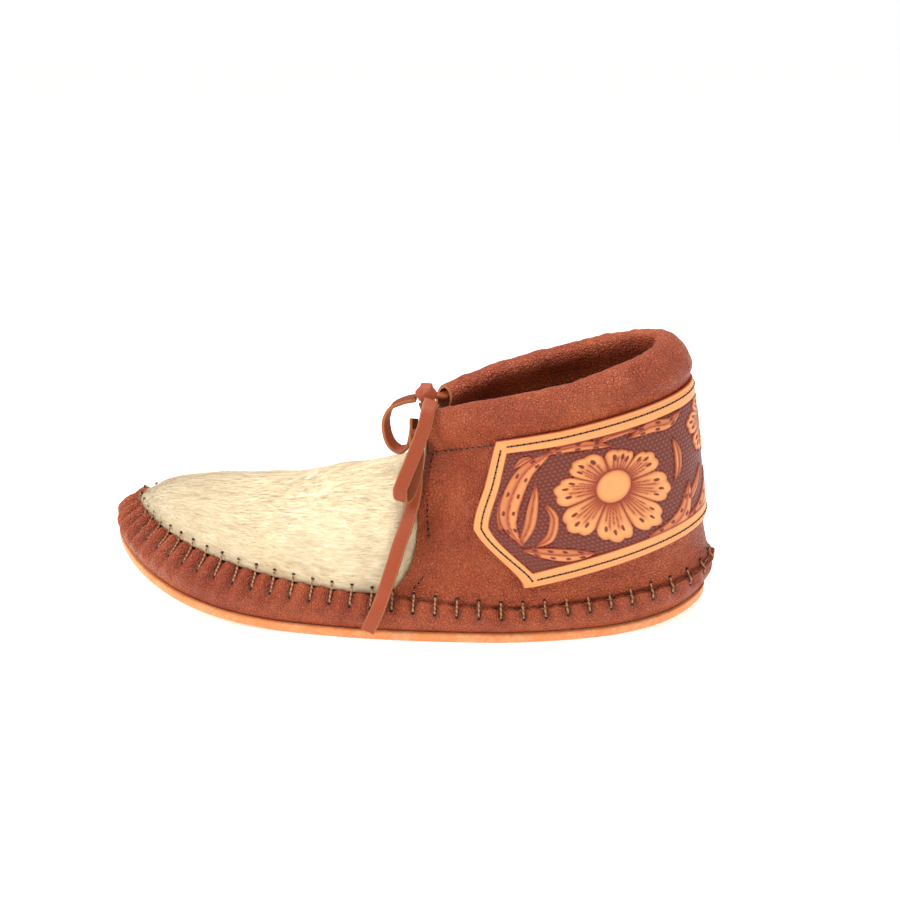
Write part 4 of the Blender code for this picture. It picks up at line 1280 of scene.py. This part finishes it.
@dataclass
class Tooling:
    """Floral tooling in the panel's own plane, from distances to its cuts.

    Along is the distance from the heel's middle and up the height over the panel's middle line,
    in millimetres. The far side mirrors the near one.
    """

    along: Array
    up: Array
    edge: Array
    BORDER = 7.0
    BEAD = 2.1
    BLOOMS = (
        Bloom((55.0, 2.7), 7.6, ((80.0, 8.2), (75.6, -13.6), (58.0, -23.6), (36.8, -21.3),
                                 (29.5, -7.4), (36.5, 12.2), (48.5, 17.6), (70.6, 18.8))),
        Bloom((0.0, 13.5), 5.2, ((17.6, 16.9), (12.5, 3.0), (0.0, -3.2), (-12.5, 3.0),
                                 (-17.6, 16.9), (-9.0, 24.5), (9.0, 24.5))),
    )
    LEAVES = (
        Leaf(((98.0, -16.0), (99.5, -4.0), (96.5, 9.0), (90.0, 19.0), (79.0, 25.5)), 4.6, 5),
        Leaf(((98.5, -17.0), (91.5, -8.0), (88.5, 2.0), (86.5, 12.0)), 2.6, 0),
        Leaf(((99.0, -19.0), (91.0, -21.5), (83.0, -23.5), (70.0, -25.5)), 3.4, 4),
        Leaf(((82.0, 25.5), (72.0, 25.8), (62.0, 24.0), (54.0, 21.0)), 2.2, 3),
        Leaf(((46.0, 22.0), (36.0, 23.0), (27.0, 21.5), (20.0, 24.0)), 2.7, 3),
        Leaf(((44.0, -25.0), (33.0, -25.0), (24.0, -20.0), (19.5, -9.0)), 3.7, 4),
        Leaf(((24.0, -24.5), (15.0, -24.5), (7.0, -19.5), (3.0, -9.5)), 3.6, 4),
        Leaf(((26.0, 14.0), (24.5, 7.0), (25.0, 0.0), (27.5, -5.0)), 2.0, 0),
        Leaf(((104.0, -9.0), (102.5, 0.0), (100.5, 8.0), (98.0, 15.0)), 1.9, 0),
        Leaf(((92.0, -18.0), (84.0, -14.0), (80.5, -6.0), (83.5, 2.0)), 2.3, 0),
        Leaf(((95.0, 22.0), (90.0, 25.0), (86.0, 25.5)), 1.6, 0),
        Leaf(((27.0, -24.5), (21.0, -17.0), (15.0, -12.0), (10.0, -5.0)), 2.0, 0),
        Leaf(((61.0, 23.0), (56.0, 25.0), (48.0, 25.3), (42.0, 24.0)), 1.5, 0),
    )
    height: Array = field(init=False)
    dye: Array = field(init=False)

    def __post_init__(self) -> None:
        """Carve the design into heights in metres and dye from 0 to 1."""
        shape = self.along.shape
        self.height = np.zeros(shape)
        self.dye = np.zeros(shape)
        self.free = np.ones(shape, bool)
        self.cut = np.full(shape, 9.0)
        self.pits = np.full(shape, 9.0)
        self.along = np.abs(self.along)
        for bloom in self.BLOOMS:
            self.carve_bloom(bloom)
        for leaf in self.LEAVES:
            self.carve_leaf(leaf)
        self.finish_ground()

    def carve_bloom(self, bloom: Bloom) -> None:
        """Add one flower: plain disk, petals with scalloped ends, veins and ovals."""
        across = self.along - bloom.centre[0]
        rise = self.up - bloom.centre[1]
        radius = np.hypot(across, rise)
        turn = np.mod(np.arctan2(rise, across), TAU)
        tips = np.array(bloom.tips) - bloom.centre
        order = np.argsort(np.mod(np.arctan2(tips[:, 1], tips[:, 0]), TAU))
        tips = tips[order]
        angles = np.mod(np.arctan2(tips[:, 1], tips[:, 0]), TAU)
        knots = np.concatenate([[angles[-1] - TAU], angles, [angles[0] + TAU]])
        sizes = np.hypot(tips[:, 0], tips[:, 1])
        sizes = np.concatenate([[sizes[-1]], sizes, [sizes[0]]])
        reach = np.interp(turn, knots, sizes)
        place = np.interp(turn, knots, np.arange(len(knots))) + 0.5
        part = place - np.floor(place)
        lobes = 0.05 * np.abs(np.sin(3.0 * math.pi * part))
        rim = reach * (0.70 + 0.25 * np.sin(math.pi * part) ** 0.55 + lobes)
        inside = (radius < rim) & (radius > bloom.disk)
        spread = TAU / len(tips) * radius
        petal = inside & self.free
        self.cut = np.where(self.free, np.minimum(self.cut, np.abs(radius - rim) * 0.9), self.cut)
        divider = np.minimum(part, 1.0 - part) * spread
        self.cut = np.where(petal, np.minimum(self.cut, divider), self.cut)
        self.cut = np.minimum(self.cut, np.abs(radius - bloom.disk))
        level = (radius - bloom.disk) / np.maximum(rim - bloom.disk, 0.1)
        for vein, end in ((0.24, 0.45), (0.37, 0.62), (0.5, 0.5), (0.63, 0.62), (0.76, 0.45)):
            narrow = np.abs(part - vein) * spread + np.maximum(level - end, 0.0) * 8.0
            self.cut = np.where(petal, np.minimum(self.cut, narrow + 0.12), self.cut)
        for spot in (0.27, 0.5, 0.73):
            side = (part - spot) * spread / 0.75
            out = (radius - reach * (0.80 - 0.3 * abs(spot - 0.5))) / 1.7
            self.pits = np.where(petal, np.minimum(self.pits, np.hypot(side, out)), self.pits)
        dome = np.sin(math.pi * np.clip(level, 0.0, 1.0)) * 0.18 - 0.12 * (1.0 - np.clip(level, 0.0, 1.0))
        self.height = np.where(petal, dome, self.height)
        blush = 0.34 * np.clip(1.0 - level * 2.2, 0.0, 1.0) + 0.12 * np.clip(1.0 - divider, 0.0, 1.0)
        self.dye = np.where(petal, blush, self.dye)
        disk = radius <= bloom.disk
        self.height = np.where(disk, 0.12 * (1.0 - (radius / bloom.disk) ** 2), self.height)
        self.free &= ~(inside | disk)

    def carve_leaf(self, leaf: Leaf) -> None:
        """Add one leaf: an outline tapered to both ends, a middle cut and a row of ovals."""
        middle = refine(np.array(leaf.line), 90)
        part = np.linspace(0.0, 1.0, 90)
        gap = np.hypot(self.along[..., None] - middle[:, 0], self.up[..., None] - middle[:, 1])
        near = np.argmin(gap, axis=-1)
        off = np.min(gap, axis=-1)
        at = part[near]
        width = leaf.half_width * np.sin(math.pi * np.clip(at, 0.02, 0.98)) ** 0.6
        run = unit(np.gradient(middle, axis=0))[near]
        side = (self.along - middle[near, 0]) * run[..., 1] - (self.up - middle[near, 1]) * run[..., 0]
        inside = (off < width) & self.free
        self.cut = np.where(self.free, np.minimum(self.cut, np.abs(off - width)), self.cut)
        self.cut = np.where(inside, np.minimum(self.cut, off + 0.1), self.cut)
        for place in range(leaf.ovals):
            spot = (place + 0.8) / (leaf.ovals + 0.6)
            along = (at - spot) * lengths_along(middle)[-1] / 1.5
            aside = (np.abs(side) - width * 0.52) / 0.7
            self.pits = np.where(inside, np.minimum(self.pits, np.hypot(along, aside)), self.pits)
        self.height = np.where(inside, 0.14 * np.cos(side / np.maximum(width, 0.1)), self.height)
        self.dye = np.where(inside, 0.10 + 0.22 * (side > 0.0) * (1.0 - off / leaf.half_width), self.dye)
        self.free &= ~inside

    def finish_ground(self) -> None:
        """Sink the beaded ground between the figures and press cuts, ovals and border."""
        field_mask = self.edge > self.BORDER
        ground = field_mask & self.free
        row = np.round(self.up / (self.BEAD * 0.87))
        shift = (np.mod(row, 2.0) - 0.5) * self.BEAD / 2.0
        column = np.round((self.along - shift) / self.BEAD)
        bead = np.hypot(self.along - shift - column * self.BEAD, self.up - row * self.BEAD * 0.87)
        bead = np.clip(1.0 - bead / (self.BEAD * 0.45), 0.0, 1.0)
        self.height = np.where(ground, -0.55 + 0.32 * bead, self.height)
        self.dye = np.where(ground, 0.98 - 0.5 * bead, self.dye)
        line = np.minimum(np.where(field_mask, self.cut, 9.0), np.abs(self.edge - self.BORDER))
        groove = np.clip(1.0 - line / 0.62, 0.0, 1.0)
        pit = np.where(field_mask, smoothstep((1.0 - self.pits) / 0.35), 0.0)
        self.height = np.where(field_mask, self.height, 0.0)
        self.dye = np.where(field_mask, self.dye, 0.0)
        outer_line = np.clip(1.0 - np.abs(self.edge - 1.6) / 0.4, 0.0, 1.0)
        smudge = 0.5 * np.exp(-np.maximum(line, 0.0) / 1.1) * field_mask * ~ground
        burnish = np.clip(1.0 - self.edge / 0.7, 0.0, 1.0)
        self.height -= 0.34 * groove + 0.3 * pit + 0.1 * outer_line
        self.height = self.height * MM
        dyes = [self.dye + smudge * 0.6, smudge, groove * 0.86, pit * 0.9, burnish * 0.6,
                outer_line * 0.22]
        self.dye = np.clip(np.maximum.reduce(dyes), 0.0, 1.0)


class HeelPanel:
    """Tooled overlay that wraps the heel, sewn on along its edge."""

    COLUMNS = 560
    ROWS = 156
    THICKNESS = 0.0018
    EDGE_HEIGHTS = (0.0, 0.42, 1.0)
    EDGE_FRONTS = (0.806, 0.838, 0.757)
    STITCH_INSET = 3.0
    STITCH_PITCH = 2.6
    MIDDLE_HEIGHT = 64.0
    MIDDLE_REACH = 112.0
    BOTTOM_SHARES = (0.357, 0.305, 0.170)
    ROLL_HEIGHT = 0.0165
    TOP_CLEARANCE = 0.0014

    def __init__(self, last: Last, finishes: Finishes) -> None:
        """Build the panel and its stitches."""
        self.last = last
        arc_sweeps = np.linspace(-1.0, 1.0, 801)
        middle, _ = self.surface(arc_sweeps, np.full(801, 0.5), straight=True)
        reach = lengths_along(middle)
        self.arc = (arc_sweeps, (reach - reach[400]) / MM)
        place, height = np.meshgrid(np.linspace(-1.0, 1.0, self.COLUMNS),
                                    np.linspace(0.0, 1.0, self.ROWS), indexing="ij")
        points, normals = self.surface(place.ravel(), height.ravel())
        shape = place.shape + (3,)
        points, normals = points.reshape(shape), normals.reshape(shape)
        tall = np.linalg.norm(np.diff(points, axis=1), axis=-1).sum(axis=1)[:, None] / MM
        along = np.interp(place * self.front(height), *self.arc)
        front = np.interp(self.front(height), *self.arc)
        edge = np.minimum(np.minimum(height, 1.0 - height) * tall, (front - np.abs(along)) * 0.97)
        tooling = Tooling(along, (height - 0.5) * tall, edge)
        lift = self.THICKNESS + last.gap - 0.3 * MM * np.clip(1.0 - edge / 0.9, 0.0, 1.0) ** 2
        piece = Piece("heel_panel_tooled")
        face = piece.add(points + normals * (lift + tooling.height)[..., None], dye=tooling.dye)
        back = piece.add((points + normals * last.gap)[::4, ::5])
        piece.grid(face, 0)
        piece.grid(back[::-1], 1)
        outer = points + normals * lift[..., None]
        under = points + normals * last.gap
        for line, below in ((outer[:, 0], under[:, 0]), (outer[::-1, -1], under[::-1, -1]),
                            (outer[0, ::-1], under[0, ::-1]), (outer[-1], under[-1])):
            rim = piece.add(np.stack([below, line], axis=1), dye=0.55)
            piece.grid(rim, 0)
        piece.build([finishes.tooling, finishes.flesh_side], "heel_panel", ("heel_panel",))
        self.sew(finishes)

    def front(self, height: Array) -> Array:
        """Share of the way from the heel to the throat where the front edge lies."""
        return np.interp(height, self.EDGE_HEIGHTS, self.EDGE_FRONTS)

    def surface(self, place: Array, height: Array, straight: bool = False) -> tuple[Array, Array]:
        """Points and normals on the quarters under the panel; straight reads place as a sweep."""
        last = self.last
        sweep = place if straight else place * self.front(height)
        back, middle, front = self.BOTTOM_SHARES
        bottom = last.three_heights(back * last.collar_back, middle * last.collar_side,
                                    front * last.collar_front, sweep)
        top = last.crest_height(sweep) - self.ROLL_HEIGHT - self.TOP_CLEARANCE
        levels = last.levels_at(sweep, between(bottom, top, height)[:, None])
        return last.quarter_grid(sweep, levels)[:, 0], last.quarter_normals(sweep, levels)[:, 0]

    def sew(self, finishes: Finishes) -> None:
        """Sew round the panel, inside its edge."""
        low = self.STITCH_INSET / self.MIDDLE_HEIGHT
        side = 1.0 - self.STITCH_INSET / self.MIDDLE_REACH
        heights = np.concatenate([np.linspace(low, 0.42, 60), np.linspace(0.42, 1.0 - low, 60)[1:]])
        places = np.linspace(-side, side, 420)
        lines = []
        for place, height in ((places, np.full(420, low)), (places, np.full(420, 1.0 - low)),
                              (np.full(119, side), heights), (np.full(119, -side), heights)):
            points, normals = self.surface(place, height)
            lines.append((points + normals * (self.THICKNESS + self.last.gap), normals))
        running_stitches("panel_stitches", lines, self.STITCH_PITCH * MM, finishes.dark_thread,
                         finishes.hole, "heel_panel")


class Hang(NamedTuple):
    """Free length of lace: what is at its far end, its flat width's direction and its route."""

    far_end: str
    across: tuple[float, float, float]
    route: tuple[tuple[float, float, float], ...]


class Lace:
    """Leather lace: a bar across the throat, and a bow with two loops and two ends."""

    WIDTH = 0.0060
    THICKNESS = 0.0018
    KNOT = (0.0132, -0.0115, 0.0984)
    HANGS = {
        "lace_loop_long": Hang("object", (0.94, 0.10, -0.33), (
            (0.0160, -0.0185, 0.0971), (0.0155, -0.0255, 0.0951), (0.0142, -0.0290, 0.0888),
            (0.0095, -0.0330, 0.0758), (0.0059, -0.0360, 0.0668), (0.0047, -0.0372, 0.0630),
            (0.0054, -0.0368, 0.0594), (0.0076, -0.0345, 0.0602), (0.0099, -0.0318, 0.0666),
            (0.0110, -0.0290, 0.0737), (0.0108, -0.0262, 0.0790), (0.0103, -0.0236, 0.0836))),
        "lace_loop_short": Hang("object", (0.30, 0.93, 0.20), (
            (0.0087, -0.0110, 0.0957), (0.0038, -0.0110, 0.0945), (-0.0017, -0.0120, 0.0917),
            (-0.0042, -0.0138, 0.0863), (-0.0036, -0.0152, 0.0801), (-0.0013, -0.0163, 0.0757),
            (0.0023, -0.0166, 0.0737), (0.0058, -0.0155, 0.0757), (0.0076, -0.0138, 0.0820),
            (0.0077, -0.0120, 0.0866))),
        "lace_tail_outer": Hang("bare", (0.97, 0.0, 0.24), (
            (0.0097, -0.0194, 0.0844), (0.0097, -0.0210, 0.0802), (0.0100, -0.0236, 0.0745),
            (0.0103, -0.0263, 0.0680), (0.0102, -0.0288, 0.0611), (0.0094, -0.0326, 0.0549),
            (0.0077, -0.0383, 0.0487), (0.0052, -0.0430, 0.0418), (0.0027, -0.0475, 0.0333),
            (-0.0003, -0.0520, 0.0236), (-0.0031, -0.0567, 0.0161), (-0.0070, -0.0585, 0.0071))),
        "lace_tail_inner": Hang("bare", (0.97, 0.0, 0.24), (
            (0.0112, 0.0010, 0.0890), (0.0104, 0.0070, 0.0866), (0.0104, 0.0130, 0.0820),
            (0.0102, 0.0182, 0.0760), (0.0108, 0.0218, 0.0680), (0.0106, 0.0252, 0.0580),
            (0.0098, 0.0287, 0.0470), (0.0084, 0.0327, 0.0360), (0.0060, 0.0368, 0.0270),
            (0.0035, 0.0408, 0.0190), (0.0015, 0.0440, 0.0125), (0.0000, 0.0452, 0.0070))),
    }

    def __init__(self, last: Last, finishes: Finishes) -> None:
        """Build the bar, the knot and the four hanging lengths."""
        self.last = last
        self.finish = [finishes.lace]
        self.tie_knot()
        self.lay_bar()
        for name, hang in self.HANGS.items():
            path = refine(np.array(hang.route), 60)
            made = self.strip(name + "_leather", path, np.array(hang.across), name)

    def strip(self, name: str, path: Array, across: Array, node: str) -> bpy.types.Object:
        """Flat strip along a path, with its width along the given direction."""
        run = unit(np.gradient(path, axis=0))
        ups = unit(np.cross(run, np.broadcast_to(across, path.shape)))
        piece = Piece(name)
        piece.tubes(path[None], ups[None], np.full(len(path), self.WIDTH / 2.0),
                    np.full(len(path), self.THICKNESS / 2.0), 16, 0.35)
        return piece.build(self.finish, "lace", (node,), sharp=60.0)

    def lay_bar(self) -> None:
        """Lay the bar from inside the roll on one side to inside it on the other."""
        sweeps = np.array([0.93, 1.0, -1.0, -0.93])
        ends = self.last.collar_grid(sweeps, np.array([0.0]), np.array([0.0048]))[:, 0]
        middle = (ends[1] + ends[2]) / 2.0 + [-0.0055, 0.0, 0.0038]
        route = np.stack([ends[0], ends[1], middle, ends[2], ends[3]])
        out = self.last.collar_outward(sweeps)
        flats = np.stack([out[0], out[1], [-1.0, 0.0, 0.0], out[2], out[3]])
        knots = lengths_along(route)
        at = np.linspace(0.0, knots[-1], 60)
        self.strip("lace_bar_leather", hermite(route, knots, at), hermite(flats, knots, at), "lace_bar")

    def tie_knot(self) -> None:
        """Wrap bands of lace into the knot."""
        turn = np.linspace(-0.35, TAU - 0.35, 40)
        piece = Piece("lace_knot_wraps")
        for tilt, size, shift in ((0.0, (2.5, 3.7, 3.4), 0.0), (0.9, (2.9, 4.3, 2.9), 0.9),
                                  (-0.8, (2.4, 4.1, 3.1), -0.8)):
            ring = np.stack([shift * np.ones(40), size[1] * np.cos(turn), size[2] * np.sin(turn)], axis=1)
            lean = np.array([[math.cos(tilt), 0.0, math.sin(tilt)], [0.0, 1.0, 0.0],
                             [-math.sin(tilt), 0.0, math.cos(tilt)]])
            path = (ring @ lean.T) * MM + self.KNOT
            ups = unit((ring - [shift, 0.0, 0.0]) @ lean.T)
            piece.tubes(path[None], ups[None], np.full(40, 2.5 * MM), np.full(40, 0.85 * MM), 16, 0.45)
        piece.build(self.finish, "lace", ("lace_knot",), sharp=60.0)


class Lamp(NamedTuple):
    """Soft lamp: where it stands, its size in metres and its power in watts."""

    spot: tuple[float, float, float]
    size: float
    power: float


class Studio:
    """White floor, soft lamps and the camera."""

    STAND = (62.5, -417.1, 238.4)
    TURN = math.radians(5.5)
    TILT = math.radians(22.2)
    LENS = 40.0
    SENSOR = 36.0
    LEVEL_OF_AIR = 0.5
    LAMPS = {
        "lamp_over": Lamp((0.05, 0.15, 1.05), 0.8, 10.0),
        "lamp_left": Lamp((-0.95, -0.35, 0.80), 0.5, 7.5),
        "lamp_right": Lamp((0.85, -0.65, 0.55), 0.6, 2.4),
    }

    def __init__(self, finishes: Finishes) -> None:
        """Set up the picture."""
        self.place_floor(finishes)
        self.place_camera()
        for name, lamp in self.LAMPS.items():
            data = bpy.data.lights.new(name, "AREA")
            data.size = lamp.size
            data.energy = lamp.power
            made = bpy.data.objects.new(name, data)
            made.location = lamp.spot
            look = Vector((0.0, 0.0, 0.05)) - made.location
            made.rotation_euler = look.to_track_quat("-Z", "Y").to_euler()
            bpy.context.scene.collection.objects.link(made)
        world = bpy.data.worlds.new("white_room")
        bpy.context.scene.world = world
        world.use_nodes = True
        world.node_tree.nodes["Background"].inputs["Color"].default_value = (1.0, 1.0, 1.0, 1.0)
        seen = add_node(world.node_tree, "ShaderNodeLightPath")
        strength = add_node(world.node_tree, "ShaderNodeMapRange",
                            {"Value": seen.outputs["Is Camera Ray"], "To Min": self.LEVEL_OF_AIR,
                             "To Max": 1.0})
        world.node_tree.links.new(strength.outputs[0],
                                  world.node_tree.nodes["Background"].inputs["Strength"])
        bpy.context.scene.view_settings.view_transform = "Standard"

    def place_floor(self, finishes: Finishes) -> None:
        """White floor under the boot."""
        mesh = bpy.data.meshes.new("floor")
        corners = [(-9.0, -9.0, 0.0), (9.0, -9.0, 0.0), (9.0, 30.0, 0.0), (-9.0, 30.0, 0.0)]
        mesh.from_pydata(corners, [], [(0, 1, 2, 3)])
        mesh.materials.append(finishes.floor)
        floor = bpy.data.objects.new("floor", mesh)
        bpy.context.scene.collection.objects.link(floor)

    def place_camera(self) -> None:
        """Camera at the outer side, turned a little from behind and looking down."""
        data = bpy.data.cameras.new("camera")
        data.lens = self.LENS
        data.sensor_width = self.SENSOR
        data.clip_start = 0.01
        camera = bpy.data.objects.new("camera", data)
        camera.location = [value * MM for value in self.STAND]
        look = Vector((-math.sin(self.TURN) * math.cos(self.TILT),
                       math.cos(self.TURN) * math.cos(self.TILT), -math.sin(self.TILT)))
        camera.rotation_euler = look.to_track_quat("-Z", "Y").to_euler()
        bpy.context.scene.collection.objects.link(camera)
        bpy.context.scene.camera = camera


def main() -> None:
    """Build the boot and the studio."""
    logging.basicConfig(level=logging.INFO)
    finishes = Finishes()
    last = Last()
    seam = WhipSeam(last)
    Studio(finishes)
    Lace(last, finishes)
    Sole(last, finishes)
    Wall(last, seam, finishes)
    Quarters(last, seam, finishes)
    Plug(last).build(finishes)
    HeelPanel(last, finishes)


if __name__ == "__main__":
    main()
